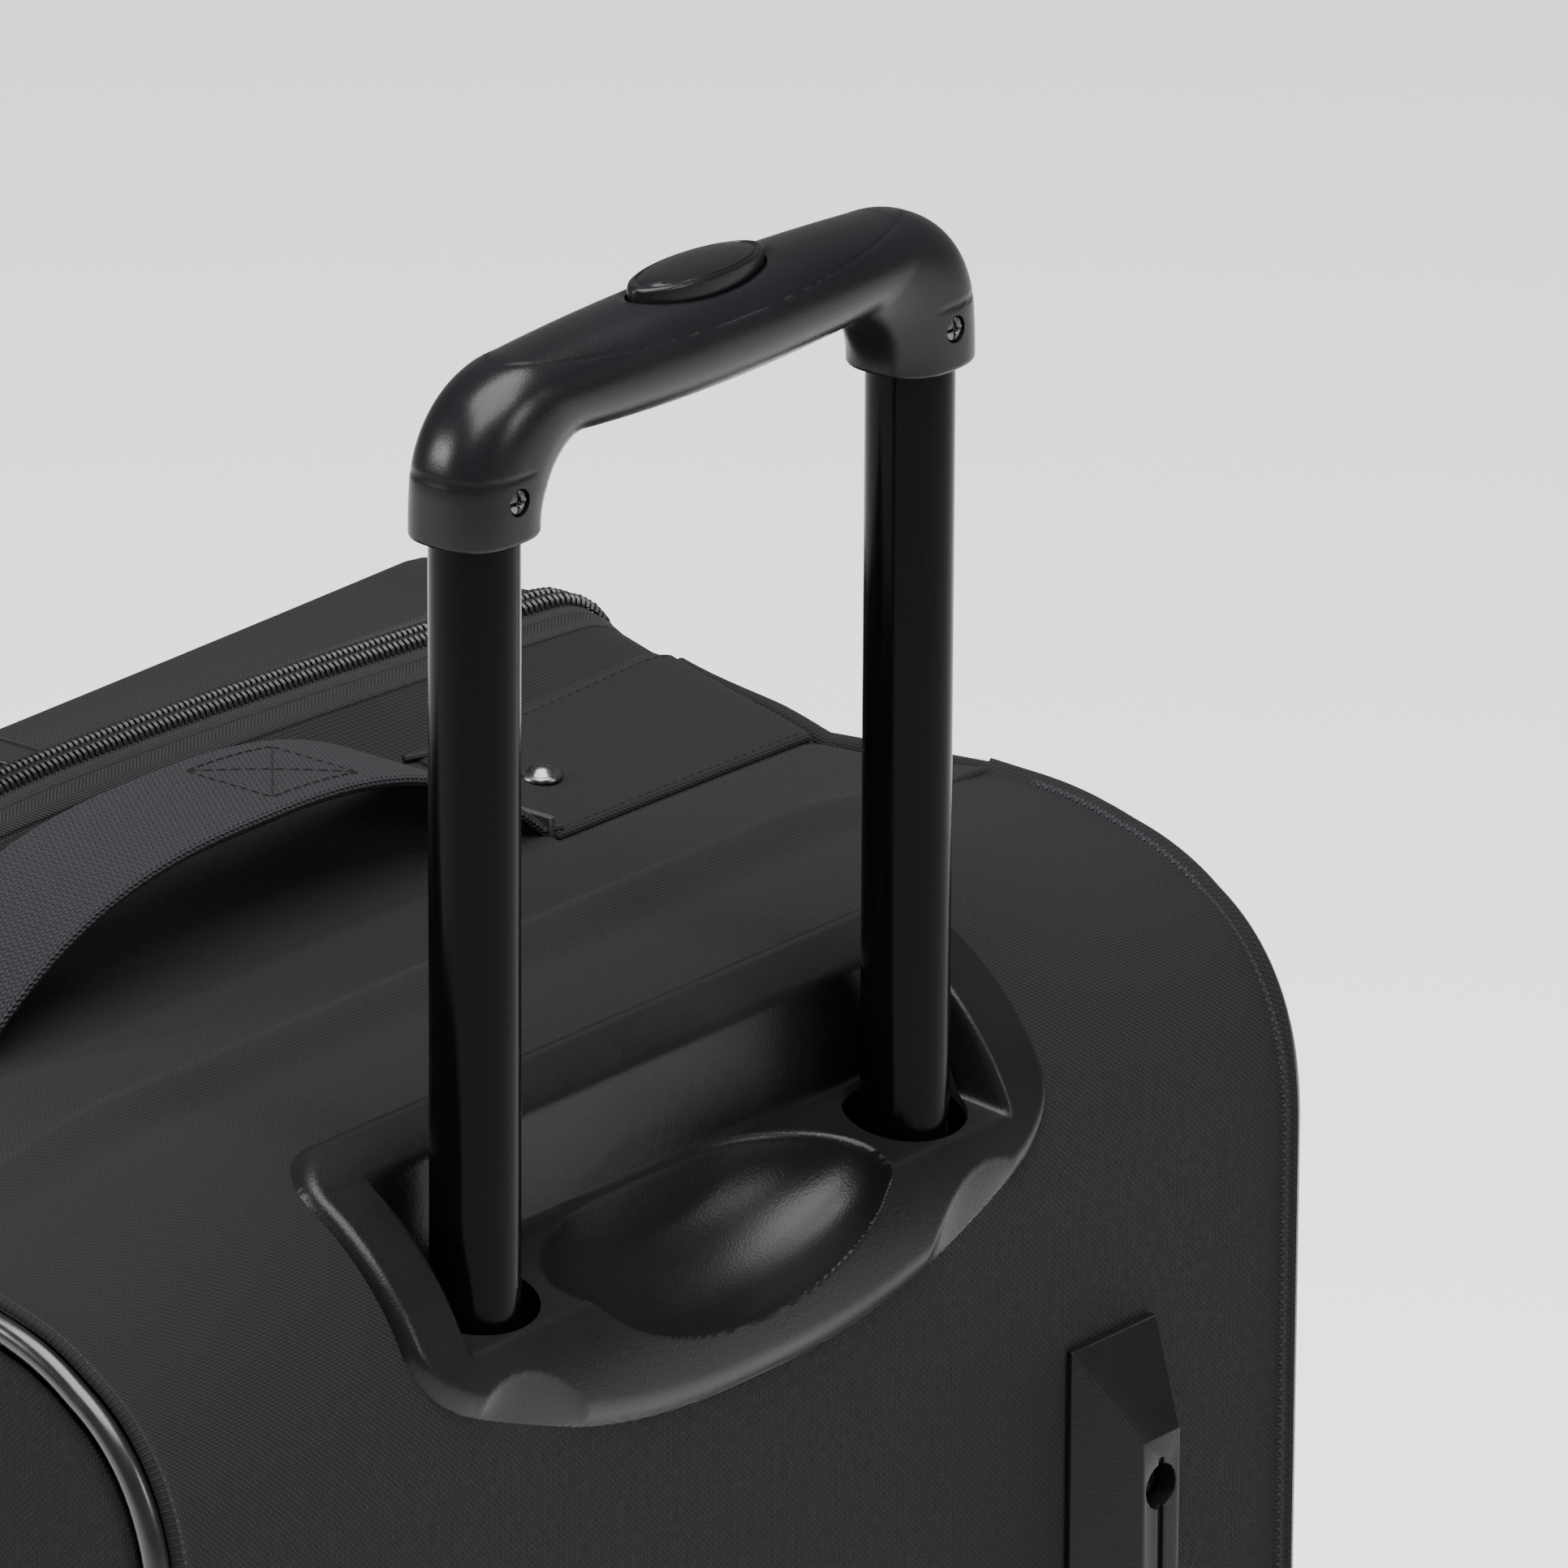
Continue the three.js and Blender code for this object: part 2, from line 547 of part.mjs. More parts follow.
function bezelOutline() {
  const rimY = BACK - BEZEL_REACH;
  const top = acrossFold(rimY, shellZ(rimY) + BEZEL_PROUD);
  const low = acrossFold(BACK + BEZEL_PROUD, CASE_TOP - BEZEL_DROP);
  const sideZ = CASE_TOP - FLOOR_REAR;
  const sideLow = acrossFold(shellY(sideZ), sideZ);
  const cornerZ = sideZ - 15;
  const cornerLow = acrossFold(shellY(cornerZ) + BEZEL_PROUD, cornerZ);
  const cornerX = BEZEL_HALF - 13;
  const shape = new THREE.Shape();
  shape.moveTo(BEZEL_HALF, sideLow);
  shape.absarc(BEZEL_HALF - BEZEL_CORNER, top - BEZEL_CORNER, BEZEL_CORNER, 0, Math.PI / 2);
  shape.absarc(-BEZEL_HALF + BEZEL_CORNER, top - BEZEL_CORNER, BEZEL_CORNER, Math.PI / 2, Math.PI);
  shape.lineTo(-BEZEL_HALF, sideLow);
  shape.quadraticCurveTo(-BEZEL_HALF, cornerLow + 3, -cornerX, cornerLow);
  shape.quadraticCurveTo(-BEZEL_HALF / 2, low, 0, low);
  shape.quadraticCurveTo(BEZEL_HALF / 2, low, cornerX, cornerLow);
  shape.quadraticCurveTo(BEZEL_HALF, cornerLow + 3, BEZEL_HALF, sideLow);
  return shape;
}

function buildBezel() {
  const reach = 90;
  const fold = new THREE.Matrix4().makeBasis(
    new THREE.Vector3(1, 0, 0),
    new THREE.Vector3(0, -Math.SQRT1_2, Math.SQRT1_2),
    new THREE.Vector3(0, -Math.SQRT1_2, -Math.SQRT1_2));
  const outline = extrude(bezelOutline(), 2 * reach).applyMatrix4(fold);
  outline.translate(0, BACK + reach * Math.SQRT1_2, CASE_TOP + reach * Math.SQRT1_2);

  const bottom = CASE_TOP - BEZEL_DROP - 20;
  const front = BACK - SHELL_WRAP;
  const flange = toSolid(extrudeX(layerShape(-BEZEL_PROUD, -GAP, bottom, front),
    -BEZEL_HALF - 5, BEZEL_HALF + 5)).intersect(toSolid(outline));
  const within = toSolid(extrudeX(insideShape(-BEZEL_PROUD, bottom, front),
    -BEZEL_HALF - 5, BEZEL_HALF + 5));
  const bucket = toSolid(extrudeX(bucketShape(BEZEL_WALL),
    -RECESS_HALF - BEZEL_WALL, RECESS_HALF + BEZEL_WALL)).add(toSolid(bowl(BEZEL_WALL)));
  let bezel = flange.add(bucket.intersect(within).intersect(toSolid(outline)));
  bezel = bezel.subtract(toSolid(extrudeX(bucketShape(0), -RECESS_HALF, RECESS_HALF)));
  bezel = bezel.subtract(toSolid(bowl(0)));
  for (const [, side] of SIDES) {
    bezel = bezel.subtract(toSolid(rod(side * TUBE_X, TUBE_Y, CASE_TOP - FLOOR_REAR - 20,
      CASE_TOP - FLOOR_FRONT + 5, HOLE_HALF_WIDTH, HOLE_HALF_DEPTH)));
  }
  add('handle_bezel', toGeometry(bezel), satinPlastic());
}

// ---- Telescopic handle -------------------------------------------------------------------------

const outerTop = CASE_TOP - BACK_ROUND + 7;
const bracketTop = BASE_LIFT + BASE_BOARD + 16;
const middleTop = CASE_TOP - FLOOR_REAR - 18;
const innerBottom = middleTop - TUBE_OVERLAP;
const innerTop = BAR_Z - 10;
const pinZ = innerBottom - PLUG_LENGTH / 2;

function buildOuterStage() {
  add('tube_base_bracket', block(-TUBE_X - 20, TUBE_X + 20, TUBE_Y - OUTER_RADIUS,
    TUBE_Y + OUTER_RADIUS, BASE_LIFT + BASE_BOARD + GAP, bracketTop - GAP), satinPlastic());
  for (const [name, side] of SIDES) {
    const tube = add(`outer_tube_${name}`,
      pipe(OUTER_RADIUS, OUTER_RADIUS - TUBE_WALL, outerTop - bracketTop), blackTube());
    tube.position.set(side * TUBE_X, TUBE_Y, bracketTop);
  }
}

function buildMiddleStage() {
  const bottom = bracketTop + 10;
  for (const [name, side] of SIDES) {
    const x = side * TUBE_X;
    const tube = pipe(MIDDLE_RADIUS, MIDDLE_RADIUS - TUBE_WALL, middleTop - bottom);
    tube.translate(x, TUBE_Y, bottom);
    const pinHole = rodX(Math.min(x, x + side * 20), Math.max(x, x + side * 20), TUBE_Y, pinZ,
      PIN_RADIUS + COLLAR_PLAY);
    add(`middle_tube_${name}`, toGeometry(cut(tube, pinHole)), blackTube());
    const collar = add(`middle_collar_${name}`,
      pipe(MIDDLE_RADIUS + 0.5, INNER_RADIUS + COLLAR_PLAY, COLLAR_HEIGHT), satinPlastic());
    collar.position.set(x, TUBE_Y, middleTop + GAP);
  }
}

function buildUpperTubes() {
  const plugRadius = MIDDLE_RADIUS - TUBE_WALL - COLLAR_PLAY;
  const spigot = INNER_RADIUS - TUBE_WALL - COLLAR_PLAY;
  const bore = ROD_RADIUS + COLLAR_PLAY;
  const screwZ = SLEEVE_BOTTOM + 10;
  for (const [name, side] of SIDES) {
    const x = side * TUBE_X;
    const tube = pipe(INNER_RADIUS, INNER_RADIUS - TUBE_WALL, innerTop - innerBottom);
    tube.translate(x, TUBE_Y, innerBottom);
    add(`inner_tube_${name}`, toGeometry(cut(tube,
      rodY(x, TUBE_Y, TUBE_Y + 20, screwZ, 1.5 + COLLAR_PLAY))), blackTube());

    const low = innerBottom - GAP - PLUG_LENGTH;
    const plug = turned([[bore, low], [plugRadius, low], [plugRadius, innerBottom - GAP],
      [spigot, innerBottom - GAP], [spigot, innerBottom + 14], [bore, innerBottom + 14], [bore, low]]);
    plug.translate(x, TUBE_Y, 0);
    add(`lock_plug_${name}`, toGeometry(cut(plug,
      rodX(Math.min(x, x + side * 20), Math.max(x, x + side * 20), TUBE_Y, pinZ,
        PIN_RADIUS + COLLAR_PLAY))), satinPlastic());

    const pinOut = plugRadius - 0.2;
    const pin = new THREE.CylinderGeometry(PIN_RADIUS, PIN_RADIUS, PIN_LENGTH, 12);
    const pinMesh = add(`lock_pin_${name}`, pin.rotateZ(Math.PI / 2), steel());
    pinMesh.position.set(x + side * (pinOut - PIN_LENGTH / 2), TUBE_Y, pinZ);
  }
}

// Front view of the grip: a bar on two sleeves, swelling a little at its middle.
function gripShape() {
  const out = TUBE_X + SLEEVE_WIDTH / 2;
  const inside = TUBE_X - SLEEVE_WIDTH / 2;
  const below = SLEEVE_BOTTOM - 2 * GRIP_BEVEL;
  const crown = BAR_Z + BAR_RADIUS;
  const under = BAR_Z - BAR_RADIUS;
  const shape = new THREE.Shape();
  shape.moveTo(out, below);
  shape.absarc(out - GRIP_CORNER, crown - GRIP_CORNER, GRIP_CORNER, 0, Math.PI / 2);
  shape.quadraticCurveTo(0, crown + 2 * BAR_SWELL, -out + GRIP_CORNER, crown);
  shape.absarc(-out + GRIP_CORNER, crown - GRIP_CORNER, GRIP_CORNER, Math.PI / 2, Math.PI);
  shape.lineTo(-out, below);
  shape.lineTo(-inside, below);
  shape.absarc(-inside + ARCH_RADIUS, under - ARCH_RADIUS, ARCH_RADIUS, Math.PI, Math.PI / 2, true);
  shape.quadraticCurveTo(0, under - 2 * BAR_SWELL, inside - ARCH_RADIUS, under);
  shape.absarc(inside - ARCH_RADIUS, under - ARCH_RADIUS, ARCH_RADIUS, Math.PI / 2, 0, true);
  shape.lineTo(inside, below);
  return shape;
}

function oval(grow, z0, z1) {
  return rod(0, TUBE_Y, z0, z1, BUTTON_LENGTH / 2 + grow, BUTTON_WIDTH / 2 + grow, 28);
}

function buildGrip() {
  const flat = SLEEVE_DEPTH - 2 * GRIP_BEVEL;
  const whole = cut(extrudeY(gripShape(), TUBE_Y - flat / 2, TUBE_Y + flat / 2, {
    bevelEnabled: true, bevelThickness: GRIP_BEVEL, bevelSize: GRIP_BEVEL,
    bevelOffset: -GRIP_BEVEL, bevelSegments: 3, curveSegments: 5,
  }), block(-200, 200, TUBE_Y - 50, TUBE_Y + 50, SLEEVE_BOTTOM - 40, SLEEVE_BOTTOM));

  const seam = BAR_Z + COVER_SPLIT;
  const coverHalf = TUBE_X;
  const coverBox = block(-coverHalf, coverHalf, TUBE_Y - 20, TUBE_Y + 20, seam, BAR_Z + 40);
  const slotHalf = 4.5;
  const bridgeHalf = 3;
  const buttonFloor = BAR_Z + bridgeHalf + GAP;
  const crown = BAR_Z + BAR_RADIUS + BAR_SWELL;

  const cover = whole.intersect(toSolid(coverBox)).subtract(toSolid(oval(0.4, BAR_Z - 5, crown + 9)));
  add('grip_cover', toGeometry(cover), softGrip());

  const coverPocket = block(-coverHalf - GAP, coverHalf + GAP, TUBE_Y - 20, TUBE_Y + 20,
    seam - GAP, BAR_Z + 40);
  const slotEnd = TUBE_X + 4;
  let body = whole.subtract(toSolid(coverPocket));
  body = body.subtract(toSolid(block(-slotEnd, slotEnd, TUBE_Y - slotHalf, TUBE_Y + slotHalf,
    BAR_Z - bridgeHalf - BUTTON_TRAVEL - 1, seam + 1)));
  body = body.subtract(toSolid(oval(0.4, buttonFloor - BUTTON_TRAVEL - 1, seam + 1)));
  for (const [, side] of SIDES) {
    const x = side * TUBE_X;
    body = body.subtract(toSolid(rod(x, TUBE_Y, SLEEVE_BOTTOM - 5, innerTop + GAP,
      INNER_RADIUS + COLLAR_PLAY)));
    body = body.subtract(toSolid(rod(x, TUBE_Y, innerTop - 1, BAR_Z, ROD_RADIUS + 1)));
    body = body.subtract(toSolid(rodY(x, TUBE_Y + 5, TUBE_Y + 20, SLEEVE_BOTTOM + 10,
      SCREW_HEAD_RADIUS + GAP)));
  }
  add('grip_body', toGeometry(body), softGrip());

  add('release_button', oval(0, buttonFloor, crown + BUTTON_PROUD), softGrip());
  add('release_bridge', block(-TUBE_X - 3, TUBE_X + 3, TUBE_Y - 3, TUBE_Y + 3,
    BAR_Z - bridgeHalf, BAR_Z + bridgeHalf), satinPlastic());

  const rodTop = BAR_Z - bridgeHalf - GAP;
  const rodBottom = pinZ + PIN_RADIUS + COLLAR_PLAY + BUTTON_TRAVEL;
  const screwOut = SLEEVE_DEPTH / 2 - 0.6;
  const screwIn = INNER_RADIUS + COLLAR_PLAY;
  for (const [name, side] of SIDES) {
    const x = side * TUBE_X;
    add(`release_rod_${name}`, rod(x, TUBE_Y, rodBottom, rodTop, ROD_RADIUS, ROD_RADIUS, 12), steel());
    const head = rodY(0, screwIn, screwOut, 0, SCREW_HEAD_RADIUS);
    const shank = rodY(0, screwIn - 1.8, screwIn + 0.5, 0, 1.5, 10);
    const screw = add(`grip_screw_${name}`, toGeometry(toSolid(head).add(toSolid(shank))), steel());
    screw.position.set(x, TUBE_Y, SLEEVE_BOTTOM + 10);
  }
}

// ---- Skid rails, wheels and feet ---------------------------------------------------------------

function buildRails() {
  const bottom = HOUSING_TOP + GAP;
  const top = CASE_TOP - RAIL_TOP_DROP;
  const base = BACK + GAP;
  const ridge = BACK + RAIL_HEIGHT;
  for (const [name, side] of SIDES) {
    const section = polygon([[-RAIL_BASE / 2, base], [RAIL_BASE / 2, base],
      [RAIL_BASE / 2, base + 1.5], [RAIL_RIDGE / 2, ridge], [-RAIL_RIDGE / 2, ridge],
      [-RAIL_BASE / 2, base + 1.5]]);
    const bar = extrude(section, top - bottom).translate(0, 0, bottom);
    const ramp = extrudeX(polygon([[base + 1.5, top + 1], [base + 1.5, top - 0.5],
      [ridge + 1, top - RAIL_RAMP], [ridge + 1, top + 1]]), -RAIL_BASE, RAIL_BASE);
    const groove = block(-RAIL_GROOVE / 2, RAIL_GROOVE / 2, ridge - 1.2, ridge + 1,
      bottom - 1, top - RAIL_RAMP - 4);
    const hole = rodY(0, ridge - 7, ridge + 1, top - RAIL_RAMP - 11, RAIL_HOLE_RADIUS);
    const rail = add(`skid_rail_${name}`, toGeometry(cut(bar, ramp, groove, hole)), satinPlastic());
    rail.position.x = side * RAIL_X;
  }
}

function housingShape(inset) {
  const rear = BACK + RAIL_HEIGHT - inset;
  const front = BACK - HOUSING_DEPTH + inset;
  const top = HOUSING_TOP - inset;
  const bottom = HOUSING_BOTTOM + inset;
  const shape = new THREE.Shape();
  shape.moveTo(front, BASE_LIFT + inset);
  shape.quadraticCurveTo(front + 8, bottom, front + 24, bottom);
  shape.lineTo(rear - 6, bottom);
  shape.quadraticCurveTo(rear, bottom, rear, bottom + 8);
  shape.lineTo(rear, top - 30);
  shape.quadraticCurveTo(rear - 2, top - 6, BACK + 1 - inset, top);
  shape.lineTo(front, top);
  return shape;
}

function buildWheels() {
  const axleY = BACK - WHEEL_INSET;
  const wellHalf = WHEEL_WIDTH / 2 + WELL_PLAY;
  const wellRadius = WHEEL_RADIUS + WELL_PLAY;
  const wall = 3;
  for (const [name, side] of SIDES) {
    const [x0, x1] = side > 0 ? [HOUSING_INNER_X, HALF] : [-HALF, -HOUSING_INNER_X];
    const centre = side * WHEEL_X;
    const outer = toSolid(extrudeX(housingShape(0), x0, x1));
    const inner = toSolid(extrudeX(housingShape(wall), x0 + wall, x1 - wall)).add(
      toSolid(block(x0 + wall, x1 - wall, BACK - HOUSING_DEPTH - 5, BACK - HOUSING_DEPTH + 10,
        BASE_LIFT + 8, HOUSING_TOP - 8)));
    const wellWall = toSolid(rodX(centre - wellHalf - wall, centre + wellHalf + wall, axleY,
      WHEEL_RADIUS, wellRadius + wall, 28)).add(toSolid(block(centre - wellHalf - wall,
      centre + wellHalf + wall, axleY - wellRadius - wall, axleY + wellRadius + wall,
      HOUSING_BOTTOM, WHEEL_RADIUS)));
    const well = toSolid(rodX(centre - wellHalf, centre + wellHalf, axleY, WHEEL_RADIUS,
      wellRadius, 28)).add(toSolid(block(centre - wellHalf, centre + wellHalf,
      axleY - wellRadius, axleY + wellRadius, 0, WHEEL_RADIUS)));
    const axleHole = toSolid(rodX(centre - wellHalf - wall + 0.5, centre + wellHalf + wall - 0.5,
      axleY, WHEEL_RADIUS, AXLE_RADIUS + GAP));
    const housing = outer.subtract(inner).add(outer.intersect(wellWall)).subtract(well)
      .subtract(axleHole);
    add(`wheel_housing_${name}`, toGeometry(housing), satinPlastic());

    const axleHalf = wellHalf + wall - 0.5 - GAP;
    const axle = add(`axle_${name}`, rodX(-axleHalf, axleHalf, 0, 0, AXLE_RADIUS, 16), steel());
    axle.position.set(centre, axleY, WHEEL_RADIUS);

    const half = WHEEL_WIDTH / 2;
    const rim = WHEEL_RADIUS - TYRE_THICK;
    const bore = AXLE_RADIUS + 0.05 + GAP;
    const tyre = turned([[rim + GAP, -half + 1], [WHEEL_RADIUS - 3, -half],
      [WHEEL_RADIUS, -half + 4], [WHEEL_RADIUS, half - 4], [WHEEL_RADIUS - 3, half],
      [rim + GAP, half - 1], [rim + GAP, -half + 1]], 24);
    const hub = turned([[bore, -half], [9, -half], [10, -3], [rim - 4, -3], [rim, -half + 1],
      [rim, half - 1], [rim - 4, 3], [10, 3], [9, half], [bore, half], [bore, -half]], 24);
    for (const [piece, geometry, material] of [['tyre', tyre, tyreRubber()],
      ['hub', hub, satinPlastic()]]) {
      const mesh = add(`wheel_${piece}_${name}`, geometry.rotateY(Math.PI / 2), material);
      mesh.position.set(centre, axleY, WHEEL_RADIUS);
    }
  }
}

function buildFeet() {
  const top = BASE_LIFT - GAP;
  const front = BAND_END + 3;
  for (const [name, side] of SIDES) {
    const section = polygon([[front + 6, 0], [front + FOOT_DEPTH - 6, 0],
      [front + FOOT_DEPTH, 12], [front + FOOT_DEPTH, top], [front, top], [front, 12]]);
    const foot = add(`front_foot_${name}`,
      extrudeX(section, -FOOT_LENGTH / 2, FOOT_LENGTH / 2), satinPlastic());
    foot.position.x = side * FOOT_X;
  }
}

buildCase();
buildLid();
buildMainSliders();
buildStraps();
buildBezel();
buildOuterStage();
buildMiddleStage();
buildUpperTubes();
buildGrip();
buildRails();
buildWheels();
buildFeet();

export default suitcase;
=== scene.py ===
"""Looks of a black softside upright suitcase: woven shell and lid, zippers, moulded handle recess,
telescopic handle, straps, skid rails and wheels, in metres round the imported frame."""

import math

import bmesh
import bpy
import numpy as np
from bpy.props import FloatProperty, FloatVectorProperty, PointerProperty
from mathutils import Matrix, Vector


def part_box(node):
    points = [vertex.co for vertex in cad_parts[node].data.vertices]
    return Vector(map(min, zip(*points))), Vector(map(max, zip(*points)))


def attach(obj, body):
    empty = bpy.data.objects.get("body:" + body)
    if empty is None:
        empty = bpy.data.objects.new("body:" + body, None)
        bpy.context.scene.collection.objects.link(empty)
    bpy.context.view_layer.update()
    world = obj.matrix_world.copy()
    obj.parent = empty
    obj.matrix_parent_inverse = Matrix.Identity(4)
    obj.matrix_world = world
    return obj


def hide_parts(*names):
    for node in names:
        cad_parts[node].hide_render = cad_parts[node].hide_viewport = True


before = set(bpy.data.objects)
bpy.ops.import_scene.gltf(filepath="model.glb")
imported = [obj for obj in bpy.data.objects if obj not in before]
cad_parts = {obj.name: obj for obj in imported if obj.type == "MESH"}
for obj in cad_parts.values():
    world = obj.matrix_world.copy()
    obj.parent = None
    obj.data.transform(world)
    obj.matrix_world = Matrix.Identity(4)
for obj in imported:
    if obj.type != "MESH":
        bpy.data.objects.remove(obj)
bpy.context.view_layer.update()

bl_info = {
    "name": "Softside Suitcase",
    "version": (1, 0, 0),
    "blender": (4, 5, 0),
    "location": "View3D > Sidebar > Suitcase",
    "description": "Builds the fabric, mouldings, handle and hardware of an upright suitcase",
    "category": "Add Mesh",
}

# ---- Places taken from the frame ---------------------------------------------------------------

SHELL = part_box("back_shell")
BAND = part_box("case_band")
LID_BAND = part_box("lid_band")
BACK = SHELL[1].y
TOP = SHELL[1].z
BASE = SHELL[0].z
WRAP_Y = SHELL[0].y
HALF = BAND[1].x
ZIP_Y = (BAND[0].y + LID_BAND[1].y) / 2
LID_TOP = LID_BAND[1].z
BAND_END = BAND[1].y
LID_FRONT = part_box("lid_panel")[0].y
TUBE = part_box("inner_tube_left")
TUBE_X = (TUBE[0].x + TUBE[1].x) / 2
TUBE_Y = (TUBE[0].y + TUBE[1].y) / 2
TUBE_R = (TUBE[1].x - TUBE[0].x) / 2
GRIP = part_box("grip_body")
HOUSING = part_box("wheel_housing_left")
SIDES = (("left", 1.0), ("right", -1.0))

FOLD_Y = ZIP_Y + 0.072
ROUND = 0.075  # top rear corner of the shell
ROUND_POWER = 2.2
CORNER = 0.020  # front corners of lid and band
BEAD_R = 0.0030
FOLD = 0.006  # round of the lid's front edge
BOARD = 0.0026


# ---- Settings ----------------------------------------------------------------------------------

def length(name, description, default):
    return FloatProperty(name=name, description=description, default=default, unit="LENGTH",
                         min=0.0, precision=5)


def colour(name, description, default):
    return FloatVectorProperty(name=name, description=description, default=default, size=3,
                               subtype="COLOR", min=0.0, max=1.0)


class SuitcaseSizes(bpy.types.PropertyGroup):
    """Sizes of the sewn and moulded detail."""

    weave: length("Weave", "Pitch of the shell fabric's threads", 0.00078)
    webbing: length("Webbing", "Pitch of the carry webbing's threads", 0.0011)
    coil: length("Zipper coil", "Distance between two turns of the main zipper", 0.00193)
    stitch: length("Stitch", "Length of one stitch", 0.0024)
    strap_rise: length("Strap rise", "Height of the top strap's arch", 0.033)
    bezel_proud: length("Recess rim", "How far the handle recess stands proud", 0.003)
    grain: length("Moulding grain", "Size of the satin plastic's grain", 0.0007)


class SuitcaseColours(bpy.types.PropertyGroup):
    """Colours of the fabrics, plastics and metals."""

    fabric: colour("Fabric", "Woven polyester of shell and lid", (0.0040, 0.0041, 0.0044))
    webbing: colour("Webbing", "Carry straps", (0.0046, 0.0049, 0.0056))
    tape: colour("Zipper tape", "Woven tape of the zippers", (0.0056, 0.0057, 0.0063))
    moulding: colour("Moulding", "Satin plastic", (0.0027, 0.0027, 0.0029))
    grip: colour("Grip", "Soft-touch plastic of the grip", (0.0030, 0.0032, 0.0038))
    tube: colour("Tubes", "Anodised tubes", (0.0010, 0.0010, 0.0011))
    piping: colour("Piping", "Vinyl piping", (0.0040, 0.0040, 0.0046))
    metal: colour("Steel", "Screws, rivets and axles", (0.11, 0.11, 0.115))
    lining: colour("Lining", "Inner lining", (0.055, 0.056, 0.062))


# ---- Mesh helpers ------------------------------------------------------------------------------

def new_object(name, mesh):
    obj = bpy.data.objects.new(name, mesh)
    bpy.context.scene.collection.objects.link(obj)
    return obj


def smooth(mesh, angle=math.radians(40)):
    mesh.shade_smooth()
    mesh.set_sharp_from_angle(angle=angle)


def recalculated(mesh):
    bm = bmesh.new()
    bm.from_mesh(mesh)
    bmesh.ops.recalc_face_normals(bm, faces=bm.faces)
    bm.to_mesh(mesh)
    bm.free()


def skin(name, points, uv, material, wrap=(False, False), keep=None, caps=False, angle=40):
    """A mesh over a grid of points (rows, columns, 3), with a UV map in metres."""
    rows, columns = points.shape[:2]
    last_row = rows if wrap[0] else rows - 1
    last_column = columns if wrap[1] else columns - 1
    i, j = np.meshgrid(np.arange(last_row), np.arange(last_column), indexing="ij")
    i, j = i.ravel(), j.ravel()
    if keep is not None:
        chosen = keep[i, j]
        i, j = i[chosen], j[chosen]
    i2, j2 = (i + 1) % rows, (j + 1) % columns
    quads = np.stack([i * columns + j, i2 * columns + j, i2 * columns + j2, i * columns + j2], 1)
    corners = np.stack([uv[i, j], uv[i + 1, j], uv[i + 1, j + 1], uv[i, j + 1]], 1)
    faces = quads.tolist()
    loops = corners.reshape(-1, 2)
    verts = points.reshape(-1, 3)
    if caps:
        first = list(range(columns - 1, -1, -1))
        final = list(range((rows - 1) * columns, rows * columns))
        faces += [first, final]
        ends = np.concatenate([uv[0, first], uv[rows - 1, [k % columns for k in final]]])
        loops = np.concatenate([loops, ends])
    mesh = bpy.data.meshes.new(name)
    mesh.from_pydata(verts.tolist(), [], faces)
    layer = mesh.uv_layers.new(name="UVMap")
    layer.data.foreach_set("uv", loops.astype(np.float32).ravel())
    if keep is not None:
        bm = bmesh.new()
        bm.from_mesh(mesh)
        bmesh.ops.delete(bm, geom=[v for v in bm.verts if not v.link_faces], context="VERTS")
        bm.to_mesh(mesh)
        bm.free()
    recalculated(mesh)
    smooth(mesh, math.radians(angle))
    mesh.materials.append(material)
    return new_object(name, mesh)


def arc_length(points):
    """Running length along the first axis of an array of points."""
    steps = np.linalg.norm(np.diff(points, axis=0), axis=-1)
    return np.concatenate([[0.0], np.cumsum(steps)])


def turned(name, outline, centre, material, axis="Z", segments=64, angle=40):
    """A ring of (radius, height) points turned about an axis through centre."""
    angles = np.linspace(0, 2 * math.pi, segments, endpoint=False)
    outline = np.array(outline, float)
    radius, height = outline[:, 0][:, None], outline[:, 1][:, None]
    a, b = radius * np.cos(angles), radius * np.sin(angles)
    h = np.broadcast_to(height, a.shape)
    order = {"Z": (a, b, h), "X": (h, a, b), "Y": (b, h, a)}[axis]
    points = np.stack(order, -1) + np.array(centre)
    around = np.append(angles, 2 * math.pi)
    run = np.append(arc_length(outline), 1.0)
    uv = np.stack(np.meshgrid(run, around * outline[:, 0].max(), indexing="ij"), -1)
    return skin(name, points, uv, material, wrap=(True, True), angle=angle)


def tube_along(name, path, radius, material, sides=16, closed=False, flat=1.0, up=(0, 0, 1)):
    """A round or flattened tube along a path of points."""
    path = np.array(path, float)
    ahead = np.gradient(path, axis=0)
    if closed:
        ahead = np.roll(path, -1, 0) - np.roll(path, 1, 0)
    ahead /= np.linalg.norm(ahead, axis=1)[:, None]
    side = np.cross(np.broadcast_to(np.array(up, float), ahead.shape), ahead)
    side /= np.linalg.norm(side, axis=1)[:, None]
    above = np.cross(ahead, side)
    angles = np.linspace(0, 2 * math.pi, sides, endpoint=False)
    ring = (side[:, None] * np.cos(angles)[None, :, None]
            + above[:, None] * flat * np.sin(angles)[None, :, None])
    points = path[:, None] + ring * radius
    run = arc_length(path)
    if closed:
        run = np.append(run, run[-1] + np.linalg.norm(path[0] - path[-1]))
    around = np.linspace(0, 2 * math.pi * radius, sides + 1)
    uv = np.stack(np.meshgrid(run, around, indexing="ij"), -1)
    return skin(name, points, uv, material, wrap=(closed, True), caps=not closed)


def apply_modifiers(obj):
    """Replaces the mesh by its evaluated copy and removes the modifiers."""
    graph = bpy.context.evaluated_depsgraph_get()
    final = bpy.data.meshes.new_from_object(obj.evaluated_get(graph))
    old = obj.data
    obj.modifiers.clear()
    obj.data = final
    final.name = obj.name
    bpy.data.meshes.remove(old)


